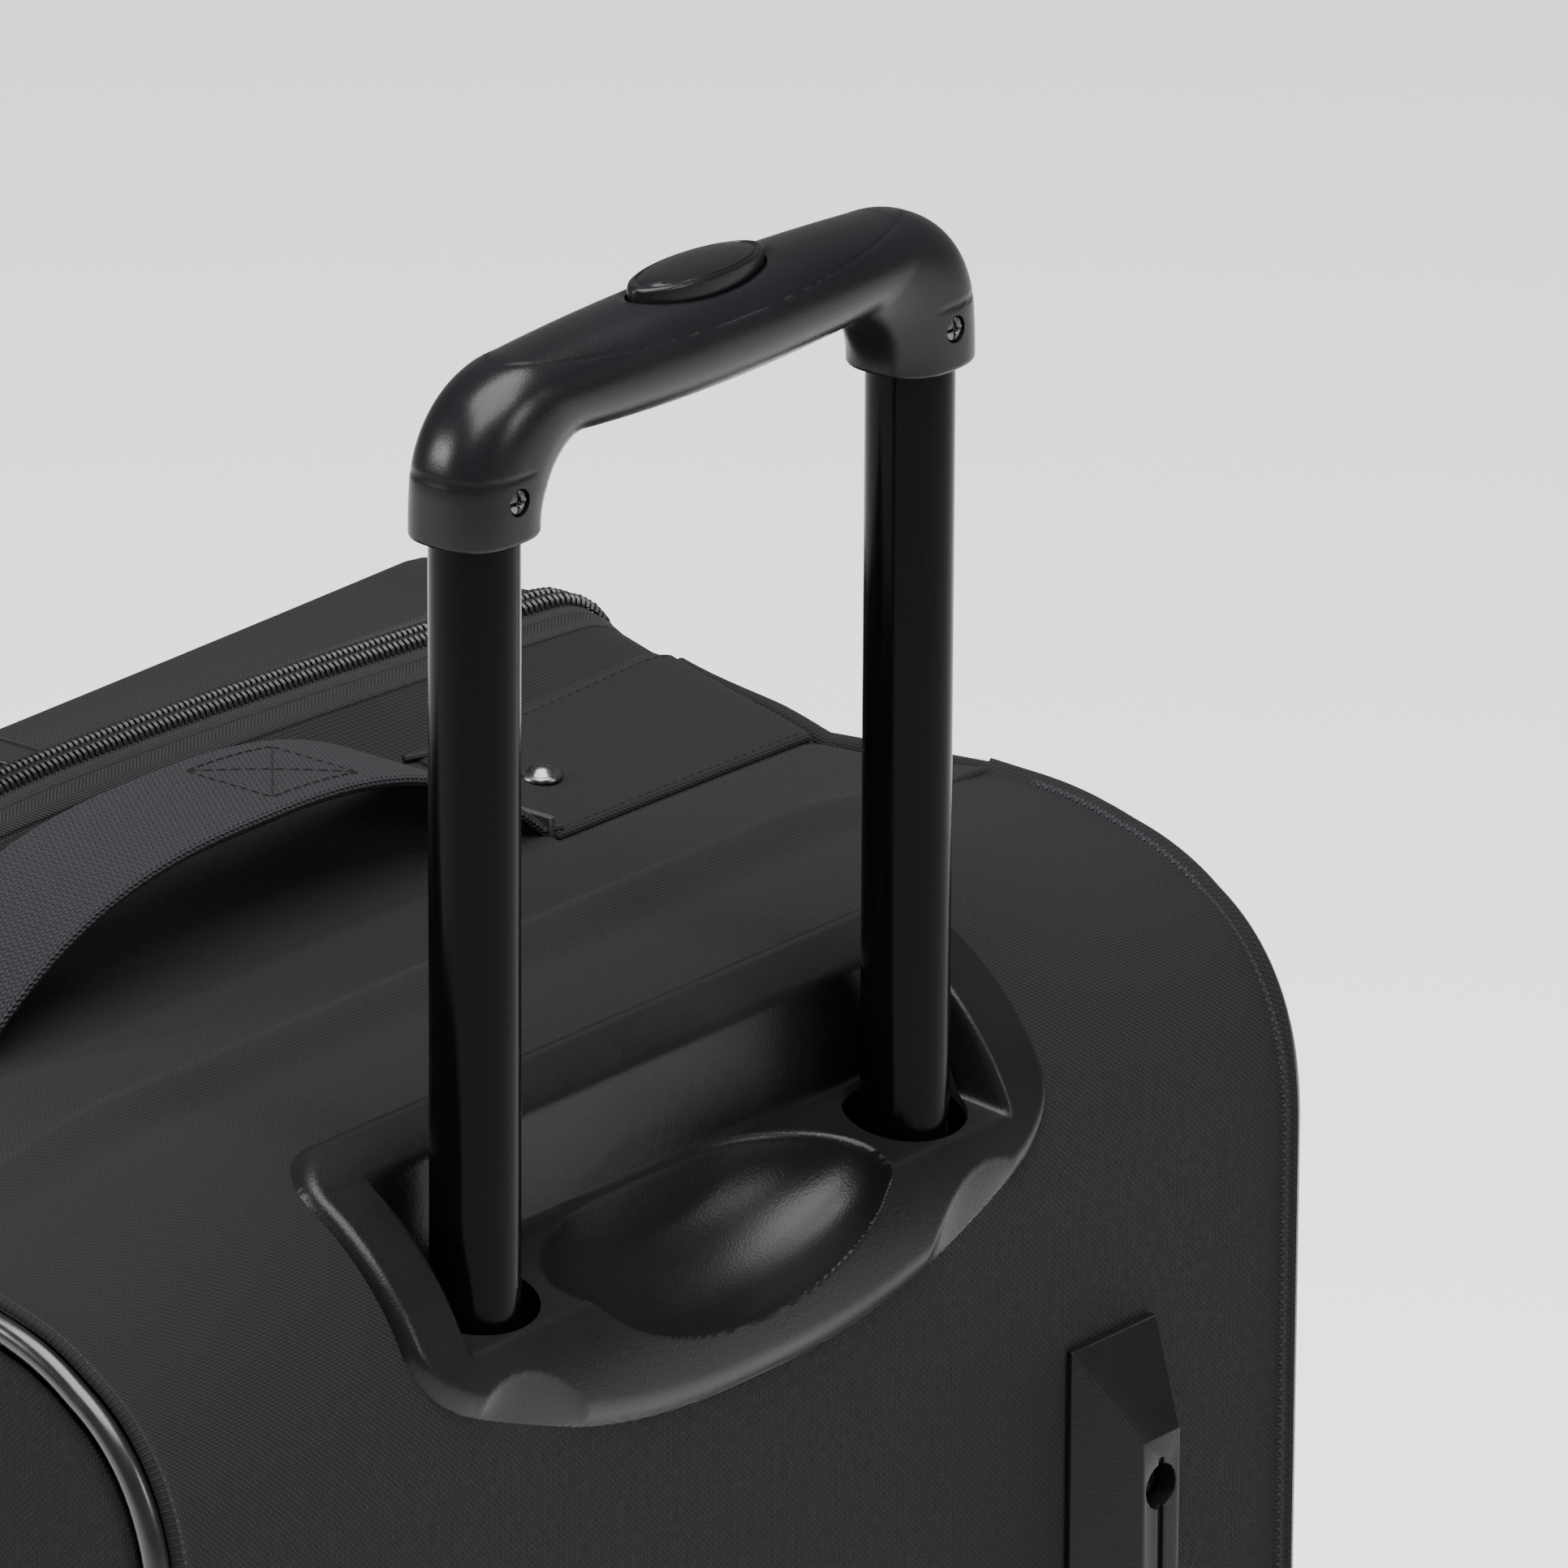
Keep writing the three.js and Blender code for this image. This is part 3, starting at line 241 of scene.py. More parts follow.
def thicken(obj, depth, inner=None, offset=-1.0):
    """Gives a sheet its wall, with another material on the inner face if one is given."""
    wall = obj.modifiers.new("Wall", "SOLIDIFY")
    wall.thickness = depth
    wall.offset = offset
    wall.use_even_offset = True
    if inner is not None:
        obj.data.materials.append(inner)
        wall.material_offset = 1
    apply_modifiers(obj)
    return obj


def from_node(name, node, material, bevel=0.0008, segments=2, angle=28):
    """A copy of a CAD node with its edges rounded."""
    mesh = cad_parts[node].data.copy()
    bm = bmesh.new()
    bm.from_mesh(mesh)
    bmesh.ops.remove_doubles(bm, verts=bm.verts, dist=1e-6)
    bmesh.ops.dissolve_limit(bm, angle_limit=math.radians(3), verts=bm.verts, edges=bm.edges)
    bm.to_mesh(mesh)
    bm.free()
    mesh.materials.clear()
    mesh.materials.append(material)
    obj = new_object(name, mesh)
    if bevel:
        rounding = obj.modifiers.new("Edges", "BEVEL")
        rounding.width = bevel
        rounding.segments = segments
        rounding.limit_method = "ANGLE"
        rounding.angle_limit = math.radians(angle)
        rounding.use_clamp_overlap = True
        apply_modifiers(obj)
    smooth(obj.data, math.radians(angle + 4))
    return obj


def block(name, low, high, material, bevel=0.001, segments=3):
    bm = bmesh.new()
    bmesh.ops.create_cube(bm, size=1.0)
    low, high = Vector(low), Vector(high)
    for v in bm.verts:
        v.co = Vector((low[k] if v.co[k] < 0 else high[k]) for k in range(3))
    bmesh.ops.bevel(bm, geom=bm.edges[:], offset=bevel, segments=segments, affect="EDGES",
                    profile=0.5)
    mesh = bpy.data.meshes.new(name)
    bm.to_mesh(mesh)
    bm.free()
    smooth(mesh)
    mesh.materials.append(material)
    return new_object(name, mesh)


def finish_piece(obj, body, slot, *nodes):
    """Rides the piece on its body and hides the CAD nodes it stands for; its slot is not used."""
    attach(obj, body)
    if nodes:
        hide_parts(*nodes)
    return obj


def joined(name, objects):
    """One object out of several with the same body."""
    with bpy.context.temp_override(active_object=objects[0], selected_editable_objects=objects):
        bpy.ops.object.join()
    objects[0].name = name
    objects[0].data.name = name
    return objects[0]


# ---- Material helpers --------------------------------------------------------------------------

class Nodes:
    """Short way to wire a material's nodes."""

    def __init__(self, name):
        self.material = bpy.data.materials.new(name)
        self.material.use_nodes = True
        self.tree = self.material.node_tree
        self.shader = self.tree.nodes["Principled BSDF"]

    def node(self, kind, inputs=None, **settings):
        made = self.tree.nodes.new(kind)
        for key, value in settings.items():
            setattr(made, key, value)
        for key, value in (inputs or {}).items():
            if isinstance(value, bpy.types.NodeSocket):
                self.tree.links.new(value, made.inputs[key])
            else:
                made.inputs[key].default_value = value
        return made

    def math(self, operation, a, b=0.0, c=0.0):
        return self.node("ShaderNodeMath", {0: a, 1: b, 2: c}, operation=operation).outputs[0]

    def uv(self):
        coords = self.node("ShaderNodeTexCoord")
        split = self.node("ShaderNodeSeparateXYZ", {0: coords.outputs["UV"]})
        return split.outputs[0], split.outputs[1], coords.outputs["UV"]

    def object_coords(self):
        return self.node("ShaderNodeTexCoord").outputs["Object"]

    def wave(self, value, pitch):
        return self.math("SINE", self.math("MULTIPLY", value, 2 * math.pi / pitch))

    def noise(self, vector, scale, detail=3.0, roughness=0.5):
        return self.node("ShaderNodeTexNoise", {"Vector": vector, "Scale": scale,
                                               "Detail": detail, "Roughness": roughness}).outputs[0]

    def mix(self, factor, a, b):
        made = self.node("ShaderNodeMix", data_type="RGBA")
        self.link(factor, made.inputs[0])
        for socket, value in ((made.inputs[6], a), (made.inputs[7], b)):
            if isinstance(value, bpy.types.NodeSocket):
                self.link(value, socket)
            else:
                socket.default_value = (*value, 1.0)
        return made.outputs[2]

    def remap(self, value, low, high, to_low, to_high):
        return self.node("ShaderNodeMapRange", {"Value": value, "From Min": low, "From Max": high,
                                                "To Min": to_low, "To Max": to_high}).outputs[0]

    def bump(self, height, distance, strength=1.0, under=None):
        inputs = {"Height": height, "Distance": distance, "Strength": strength}
        if under is not None:
            inputs["Normal"] = under
        return self.node("ShaderNodeBump", inputs).outputs[0]

    def link(self, source, target):
        self.tree.links.new(source, target)

    def set(self, **values):
        for key, value in values.items():
            socket = self.shader.inputs[key.replace("_", " ")]
            if isinstance(value, bpy.types.NodeSocket):
                self.link(value, socket)
            elif isinstance(value, tuple) and len(value) == 3:
                socket.default_value = (*value, 1.0)
            else:
                socket.default_value = value
        return self.material


def shade(base, factor):
    return tuple(channel * factor for channel in base)


def palette():
    return bpy.context.scene.suitcase_colours


def sizes():
    return bpy.context.scene.suitcase_sizes


MATERIALS = {}


def material(name, build):
    if name not in MATERIALS:
        MATERIALS[name] = build(name)
    return MATERIALS[name]


def woven(name, base, pitch, depth, sheen, light=2.2):
    """Plain weave on the UV map: warp and weft threads pass over each other in turn."""
    made = Nodes(name)
    u, v, uv = made.uv()
    over = made.math("MULTIPLY", made.wave(u, 2 * pitch), made.wave(v, 2 * pitch))
    warp = made.math("ABSOLUTE", made.wave(u, 2 * pitch))
    weft = made.math("ABSOLUTE", made.wave(v, 2 * pitch))
    threads = made.math("ADD", made.math("MULTIPLY", over, 0.6), made.math("MULTIPLY", warp, weft))
    slub = made.noise(uv, 420.0, 2.0)
    cloud = made.noise(uv, 9.0, 3.0)
    tone = made.math("ADD", made.math("MULTIPLY", threads, 0.32), made.math("MULTIPLY", slub, 0.5))
    # Painted light and shade: the colour follows the threads' height, lighter on the crowns and darker in
    # the gaps between threads, and light sets how bright the crowns are; the slub noise adds random tone.
    painted_thread_light_and_slub = made.mix(made.remap(tone, -0.1, 0.9, 0.0, 1.0), shade(base, 0.4), shade(base, light))
    faded = made.math("MULTIPLY", made.remap(cloud, 0.35, 0.65, 0.0, 1.0), 0.28)
    colour_out = made.mix(faded, painted_thread_light_and_slub, shade(base, 1.25))
    coarse = made.bump(cloud, 0.0006, 0.25)
    relief = made.math("ADD", threads, made.math("MULTIPLY", slub, 0.5))
    normal = made.bump(relief, depth, 0.9, coarse)
    return made.set(Base_Color=colour_out, Roughness=made.remap(slub, 0.3, 0.7, 0.72, 0.92),
                    Normal=normal, Sheen_Weight=sheen, Sheen_Roughness=0.45,
                    Specular_IOR_Level=0.11)


def fabric():
    return material("woven_polyester", lambda n: woven(
        n, tuple(palette().fabric), sizes().weave, 0.00022, 0.015))


def lining():
    return material("lining_cloth", lambda n: woven(
        n, tuple(palette().lining), 0.0006, 0.00008, 0.25, 1.3))


def webbing():
    """Ribbed webbing: thread rows across the strap, each shifted against the next."""
    def build(name):
        made = Nodes(name)
        u, v, uv = made.uv()
        pitch = sizes().webbing
        rows = made.wave(v, 2 * pitch)
        shifted = made.math("ADD", u, made.math("MULTIPLY", rows, pitch * 0.45))
        steps = made.wave(shifted, pitch * 1.5)
        threads = made.math("ADD", made.math("MULTIPLY", steps, 0.6), made.math("ABSOLUTE", rows))
        slub = made.noise(uv, 500.0, 2.0)
        base = tuple(palette().webbing)
        # Painted light and shade: the colour follows the threads' height, bright on the thread crowns and
        # dark in the rows between them; the slub noise adds random tone.
        thread_shading_and_slub = made.math("ADD", threads, made.math("MULTIPLY", slub, 0.6))
        tone = made.remap(thread_shading_and_slub, -0.4, 1.9, 0.0, 1.0)
        return made.set(Base_Color=made.mix(tone, shade(base, 0.25), shade(base, 3.0)),
                        Roughness=0.72, Normal=made.bump(threads, 0.0004, 0.9),
                        Sheen_Weight=0.01, Sheen_Roughness=0.4, Specular_IOR_Level=0.14)
    return material("strap_webbing", build)


def zipper_tape():
    """Herringbone tape: slanting ribs that turn back at the tape's middle."""
    def build(name):
        made = Nodes(name)
        u, v, uv = made.uv()
        half = 0.0026
        folded = made.math("PINGPONG", v, half)
        ribs = made.wave(made.math("ADD", u, made.math("MULTIPLY", folded, 1.25)), 0.00125)
        edge = made.remap(folded, 0.0, 0.0003, 0.0, 1.0)
        height = made.math("MULTIPLY", made.math("ADD", ribs, 1.0), edge)
        base = tuple(palette().tape)
        # Painted light and shade: the colour follows the rib height, lighter on the ribs and darker in
        # the grooves and where the height drops at the turns; the noise adds random tone.
        tone = made.remap(made.math("ADD", height, made.noise(uv, 600.0, 2.0)), 0.2, 2.4, 0.0, 1.0)
        return made.set(Base_Color=made.mix(tone, shade(base, 0.45), shade(base, 2.2)),
                        Roughness=0.7, Normal=made.bump(height, 0.0003, 0.8),
                        Sheen_Weight=0.01, Specular_IOR_Level=0.14)
    return material("herringbone_tape", build)


def plastic(name, base, roughness, grain, depth, spread=0.08, **extra):
    """Moulded plastic with a fine spark-eroded grain and a few dull handling marks."""
    made = Nodes(name)
    where = made.object_coords()
    fine = made.noise(where, 1.0 / grain, 2.0, 0.6)
    marks = made.noise(where, 28.0, 4.0, 0.55)
    dull = made.remap(marks, 0.3, 0.7, roughness - spread / 2, roughness + spread / 2)
    rough = made.math("ADD", dull, made.remap(fine, 0.3, 0.7, -0.03, 0.03))
    tone = made.mix(made.remap(marks, 0.35, 0.7, 0.0, 1.0), base, shade(base, 1.25))
    return made.set(Base_Color=tone, Roughness=rough, Normal=made.bump(fine, depth, 0.5), **extra)


def moulding():
    return material("satin_moulding", lambda n: plastic(
        n, tuple(palette().moulding), 0.33, sizes().grain, 0.00016, Specular_IOR_Level=0.14))


def soft_grip():
    return material("soft_touch_grip", lambda n: plastic(
        n, tuple(palette().grip), 0.30, sizes().grain * 0.8, 0.00006, 0.06,
        Specular_IOR_Level=0.16))


def gloss_vinyl():
    return material("piping_vinyl", lambda n: plastic(
        n, tuple(palette().piping), 0.27, 0.004, 0.00003, 0.05, Specular_IOR_Level=0.4))


def zip_metal():
    return material("painted_zinc", lambda n: plastic(
        n, shade(tuple(palette().piping), 1.2), 0.3, 0.002, 0.00002, 0.08, Metallic=0.3,
        Specular_IOR_Level=0.3))


def coil_plastic():
    return material("coil_nylon", lambda n: plastic(
        n, shade(tuple(palette().tape), 0.8), 0.36, 0.0004, 0.00001, 0.05,
        Specular_IOR_Level=0.25))


def thread():
    return material("sewing_thread", lambda n: plastic(
        n, shade(tuple(palette().fabric), 0.95), 0.75, 0.0004, 0.00003, 0.05, Specular_IOR_Level=0.15))


def rubber():
    return material("tyre_rubber", lambda n: plastic(
        n, shade(tuple(palette().moulding), 1.5), 0.7, 0.0012, 0.00008, 0.12))


# Painted shade: a near-black fill for slits and bores where there is only shade.
def painted_shade_fill():
    return material("unlit_bore", lambda n: plastic(n, (0.002, 0.002, 0.002), 0.8, 0.001, 0.00002))


def anodised():
    """Drawn tube: fine lines along its length and a slightly streaked gloss."""
    def build(name):
        made = Nodes(name)
        _, _, uv = made.uv()
        stretch = made.node("ShaderNodeMapping", {"Vector": uv, "Scale": (1.5, 900.0, 1.0)})
        lines = made.noise(stretch.outputs[0], 1.0, 2.0)
        marks = made.noise(made.object_coords(), 40.0, 3.0)
        rough = made.math("ADD", made.remap(lines, 0.3, 0.7, 0.12, 0.2),
                          made.remap(marks, 0.4, 0.7, 0.0, 0.06))
        base = tuple(palette().tube)
        tone = made.mix(made.remap(lines, 0.3, 0.7, 0.0, 1.0), base, shade(base, 1.5))
        return made.set(Base_Color=tone, Roughness=rough, Normal=made.bump(lines, 0.00001, 0.4),
                        Specular_IOR_Level=0.045)
    return material("anodised_tube", build)


def steel():
    def build(name):
        made = Nodes(name)
        scratches = made.noise(made.object_coords(), 700.0, 3.0)
        base = tuple(palette().metal)
        return made.set(Base_Color=made.mix(scratches, shade(base, 0.6), shade(base, 1.1)),
                        Metallic=1.0, Roughness=made.remap(scratches, 0.3, 0.7, 0.2, 0.38),
                        Normal=made.bump(scratches, 0.00001, 0.3))
    return material("plated_steel", build)


# ---- Repeats placed by geometry nodes ----------------------------------------------------------

def repeat_tree(name, finish):
    """A node tree that puts a shape on each point, turned by the points' ahead and above."""
    tree = bpy.data.node_groups.new(name, "GeometryNodeTree")
    face = tree.interface
    face.new_socket("Geometry", in_out="INPUT", socket_type="NodeSocketGeometry")
    face.new_socket("Shape", in_out="INPUT", socket_type="NodeSocketObject")
    face.new_socket("Length", in_out="INPUT", socket_type="NodeSocketFloat")
    face.new_socket("Width", in_out="INPUT", socket_type="NodeSocketFloat")
    face.new_socket("Geometry", in_out="OUTPUT", socket_type="NodeSocketGeometry")
    nodes, links = tree.nodes, tree.links
    start, end = nodes.new("NodeGroupInput"), nodes.new("NodeGroupOutput")
    place = nodes.new("GeometryNodeInstanceOnPoints")
    shape = nodes.new("GeometryNodeObjectInfo")
    turns = []
    for attribute, axis in (("ahead", "X"), ("above", "Z")):
        read = nodes.new("GeometryNodeInputNamedAttribute")
        read.data_type = "FLOAT_VECTOR"
        read.inputs["Name"].default_value = attribute
        turn = nodes.new("FunctionNodeAlignRotationToVector")
        turn.axis = axis
        turn.pivot_axis = "AUTO" if axis == "X" else "X"
        links.new(read.outputs["Attribute"], turn.inputs["Vector"])
        if turns:
            links.new(turns[-1].outputs[0], turn.inputs["Rotation"])
        turns.append(turn)
    scale = nodes.new("ShaderNodeCombineXYZ")
    real = nodes.new("GeometryNodeRealizeInstances")
    paint = nodes.new("GeometryNodeSetMaterial")
    paint.inputs["Material"].default_value = finish
    links.new(start.outputs["Shape"], shape.inputs[0])
    links.new(start.outputs["Length"], scale.inputs[0])
    links.new(start.outputs["Width"], scale.inputs[1])
    links.new(start.outputs["Width"], scale.inputs[2])
    links.new(start.outputs["Geometry"], place.inputs["Points"])
    links.new(shape.outputs["Geometry"], place.inputs["Instance"])
    links.new(turns[-1].outputs[0], place.inputs["Rotation"])
    links.new(scale.outputs[0], place.inputs["Scale"])
    links.new(place.outputs[0], real.inputs[0])
    links.new(real.outputs[0], paint.inputs["Geometry"])
    links.new(paint.outputs[0], end.inputs[0])
    return tree


def repeated(name, points, ahead, above, shape, finish, size):
    """Copies of a small shape on points, as one plain mesh."""
    mesh = bpy.data.meshes.new(name)
    mesh.from_pydata(np.array(points).tolist(), [], [])
    for key, vectors in (("ahead", ahead), ("above", above)):
        layer = mesh.attributes.new(key, "FLOAT_VECTOR", "POINT")
        layer.data.foreach_set("vector", np.array(vectors, np.float32).ravel())
    obj = new_object(name, mesh)
    tree = repeat_tree(name + "_repeat", finish)
    spread = obj.modifiers.new("Repeat", "NODES")
    spread.node_group = tree
    inputs = {item.name: item.identifier for item in tree.interface.items_tree
              if item.in_out == "INPUT"}
    spread[inputs["Shape"]] = shape
    spread[inputs["Length"]] = size[0]
    spread[inputs["Width"]] = size[1]
    apply_modifiers(obj)
    smooth(obj.data, math.radians(60))
    bpy.data.objects.remove(shape)
    return obj


def small_arch(sides=5, steps=6):
    """One turn of a zipper coil: a bent wire from the middle out over the tape, of unit size."""
    angles = np.linspace(-0.15, 1.05, steps) * math.pi
    path = np.stack([np.zeros(steps), 0.5 - 0.5 * np.cos(angles), 0.42 * np.sin(angles)], 1)
    return tube_along("coil_turn", path, 0.19, coil_plastic(), sides=sides, up=(1, 0, 0))


def small_stitch():
    """One stitch: a thread that dips into the cloth at both ends, of unit length."""
    run = np.linspace(-0.5, 0.5, 5)
    path = np.stack([run, np.zeros(5), 0.22 - 1.9 * run ** 2], 1)
    return tube_along("stitch_turn", path, 0.26, thread(), sides=5)


def resampled(path, pitch):
    """Points at an even pitch along a path, with the path's direction at each."""
    path = np.array(path, float)
    run = arc_length(path)
    count = max(2, int(run[-1] / pitch))
    where = (np.arange(count) + 0.5) * run[-1] / count
    spots = np.stack([np.interp(where, run, path[:, k]) for k in range(3)], 1)
    ahead = np.gradient(spots, axis=0)
    return spots, ahead / np.linalg.norm(ahead, axis=1)[:, None]


def seam(name, path, above, body, slot="case_fabric"):
    """A row of stitches along a path."""
    step = sizes().stitch
    spots, ahead = resampled(path, step * 1.3)
    ups = np.broadcast_to(np.array(above, float), spots.shape)
    obj = repeated(name, spots, ahead, ups, small_stitch(), thread(), (step, 0.0008))
    return finish_piece(obj, body, slot)


# ---- Surface of the case -----------------------------------------------------------------------

def smoothstep(x, low, high):
    t = np.clip((x - low) / (high - low), 0.0, 1.0)
    return t * t * (3 - 2 * t)


def corner_profile(offset, count=80):
    """(Y, Z) points of the top rear corner, from the back up to the top, moved out by offset."""
    angle = np.linspace(0, math.pi / 2, count)
    radius = ROUND + offset
    return np.stack([BACK - ROUND + radius * np.cos(angle) ** (2 / ROUND_POWER),
                     TOP - ROUND + radius * np.sin(angle) ** (2 / ROUND_POWER)], 1)


# Height of the fabric top over the shell's top plane: distance from the zipper, height at the
# middle of the width and height at the sides.
RISE_AT = ((-0.045, 0.0086, 0.0108), (-0.030, 0.0104, 0.0102), (-0.014, 0.0142, 0.0088),
           (-0.006, 0.0174, 0.0082), (0.0, 0.0180, 0.0080), (0.006, 0.0172, 0.0072),
           (0.013, 0.0130, 0.0050), (0.027, -0.0022, 0.0008), (0.050, -0.0075, -0.0047),
           (0.072, -0.0098, -0.0098), (0.100, -0.0082, -0.0082), (0.124, -0.0046, -0.0046))
RISE_HALF = 0.190


def top_rise(y, x):
    where, middle, sides = np.array(RISE_AT).T
    share = np.clip(np.abs(x) / RISE_HALF, 0, 1) ** 1.5
    high, low = (np.interp(y - ZIP_Y, where, rise) for rise in (middle, sides))
    return high + (low - high) * share


def sag(x):
    """How much deeper the soft top lies towards its sides."""
    return 1 + 0.22 * np.clip(np.abs(x) / HALF, 0, 1) ** 2.6


def side_rise(y):
    """Outward bulge of the band and lid sides, by distance from the zipper."""
    return np.interp(y - ZIP_Y, (-0.045, -0.02, -0.004, 0.004, 0.013, 0.027),
                     (0.0, 0.0012, 0.0026, 0.0026, 0.0014, 0.0002))


def edge_rise(y):
    """Height of the side edges over the stiff profile: they sag before and beside the recess."""
    return np.interp(y, (BAND_END, BAND_END + 0.03, FOLD_Y, WRAP_Y, BACK - 0.050, BACK - 0.026,
                         BACK - 0.012, BACK - 0.004),
                     (0.0004, -0.0068, -0.0115, -0.0070, -0.0078, -0.0054, -0.0019, 0.0)
                     ) - 0.38 * shoulder(y)


def shoulder(y):
    """Depth of the rounded shoulder that carries the band's corners on into the soft top."""
    return 0.010 * (1 - smoothstep(y, BAND_END, BAND_END + 0.045))


def hoop(count=420):
    """Points, outward normals and running length round the lid's outline in (X, Z)."""
    width, low, high = HALF - CORNER, BASE + CORNER, LID_TOP - CORNER
    parts = []
    for cx, cz, a0 in ((width, low, -90), (width, high, 0), (-width, high, 90), (-width, low, 180)):
        turn = np.radians(np.linspace(a0, a0 + 90, 13))
        parts.append(np.stack([cx + CORNER * np.cos(turn), cz + CORNER * np.sin(turn),
                               np.cos(turn), np.sin(turn)], 1))
    loop = np.concatenate([[[0, BASE, 0, -1]], *parts, [[0, BASE, 0, -1]]])
    run = arc_length(loop[:, :2])
    at = np.linspace(0, run[-1], count)
    dense = np.stack([np.interp(at, run, loop[:, k]) for k in range(4)], 1)
    dense[:, 2:] /= np.linalg.norm(dense[:, 2:], axis=1)[:, None]
    return dense[:, :2], dense[:, 2:], at


def strip_points(y, lift=0.0):
    """The lid and band surface at depths y, raised by lift: (len(y), hoop, 3) and its UVs."""
    flat, normal, run = hoop()
    y = np.array(y, float)[:, None]
    lift = np.broadcast_to(np.array(lift, float).reshape(-1, 1), y.shape)
    up, out = np.clip(normal[:, 1], 0, 1) ** 2, np.abs(normal[:, 0]) ** 2
    rise = (top_rise(y, flat[:, 0]) + TOP - LID_TOP) * up + side_rise(y) * out + lift
    x, z = flat[:, 0] + normal[:, 0] * rise, flat[:, 1] + normal[:, 1] * rise
    points = np.stack([x, np.broadcast_to(y, x.shape), z], -1)
    uv = np.stack(np.broadcast_arrays(run[None], y), -1)
    return points, uv


# ---- Pieces: fabric case -----------------------------------------------------------------------

def strip(name, y, lift, body, slot, finish, *nodes, wall=BOARD, inner=None, part=None):
    """A fabric strip round the case between two depths."""
    points, uv = strip_points(y, lift)
    wrap = (False, part is None)
    if part is None:
        points = points[:, :-1]
    else:
        points, uv = points[:, part], uv[:, part]
    obj = skin(name, points, uv, finish, wrap=wrap)
    thicken(obj, wall, inner)
    return finish_piece(obj, body, slot, *nodes)


def shell_surface(rows, columns):
    """Grid over the rear shell, from its front edge over the corner and down to the base."""
    corner = corner_profile(0.0, 60)[::-1]
    flat = np.stack([np.linspace(WRAP_Y, BACK - ROUND, 8)[:-1], np.full(7, TOP)], 1)
    down = np.stack([np.full(90, BACK), np.linspace(TOP - ROUND, BASE, 91)[1:]], 1)
    line = np.concatenate([flat, corner, down])
    run = arc_length(line)
    at = np.linspace(0, run[-1], rows)
    line = np.stack([np.interp(at, run, line[:, k]) for k in range(2)], 1)
    across = np.gradient(line, axis=0)
    normal = np.stack([-across[:, 1], across[:, 0]], 1)
    normal /= -np.linalg.norm(normal, axis=1)[:, None]
    half = HALF - 2 * BEAD_R + 0.0004
    x = np.linspace(-half, half, columns)
    edge = (half - np.abs(x)) / 0.0045
    roll = -0.0016 * np.clip(1 - edge, 0, 1) ** 2 * 1.6
    puff = 0.0012 * smoothstep(half - np.abs(x), 0.0, 0.05)
    ahead = BACK - ROUND - line[:, 0]
    sink = np.where(ahead > 0, -0.0046 * smoothstep(ahead, 0, 0.014), 0)
    lower = smoothstep(at, run[-1] * 0.3, run[-1] * 0.6)
    beside = smoothstep(np.abs(x), 0.118, half)[None]
    amount = roll[None] + puff[None] * lower[:, None] + sink[:, None] * (1 - beside)
    points = np.empty((rows, columns, 3))
    points[..., 0] = x
    points[..., 1] = line[:, 0][:, None] + normal[:, 0][:, None] * amount
    points[..., 2] = line[:, 1][:, None] + normal[:, 1][:, None] * amount
    points[..., 2] += edge_rise(line[:, 0])[:, None] * beside
    uv = np.stack(np.meshgrid(at, x, indexing="ij"), -1)
    return points, uv


def across_fold(y, z):
    return ((z - TOP) - (y - BACK)) / math.sqrt(2)


def along_fold(y, z):
    return ((z - TOP) + (y - BACK)) / math.sqrt(2)


RIM_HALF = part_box("handle_bezel")[1].x - 0.0015


def bezel_outline():
    """Closed outline of the recess rim, as X by distance across the fold."""
    half, top, low, power = RIM_HALF, 0.0322, -0.0533, 2.4
    foot, bend_end, corner = 0.098, -0.020, 0.016
    x = np.linspace(0, foot, 30)
    lower = np.stack([x, low + 0.0165 * (x / foot) ** power], 1)
    u = np.linspace(0, 1, 12)[1:, None]
    bend = ((1 - u) ** 2 * lower[-1] + 2 * u * (1 - u) * np.array([half, low + 0.0232])
            + u ** 2 * np.array([half, bend_end]))
    turn = np.radians(np.linspace(0, 90, 14))
    upper = np.stack([half - corner + corner * np.cos(turn),
                      top - corner + corner * np.sin(turn)], 1)
    right = np.concatenate([lower, bend, upper])
    return np.concatenate([right, (right * (-1, 1))[:0:-1]])


def signed_distance(x, y, outline):
    """Distance to a closed outline, positive inside."""
    a = outline
    b = np.roll(outline, -1, 0)
    inside = np.zeros(x.shape, bool)
    nearest = np.full(x.shape, 1e9)
    for (ax, ay), (bx, by) in zip(a, b):
        dx, dy = bx - ax, by - ay
        span = dx * dx + dy * dy + 1e-18
        t = np.clip(((x - ax) * dx + (y - ay) * dy) / span, 0, 1)
        nearest = np.minimum(nearest, np.hypot(x - ax - t * dx, y - ay - t * dy))
        crosses = ((ay > y) != (by > y)) & (x < dx * (y - ay) / (dy + 1e-18) + ax)
        inside ^= crosses
    return np.where(inside, nearest, -nearest)


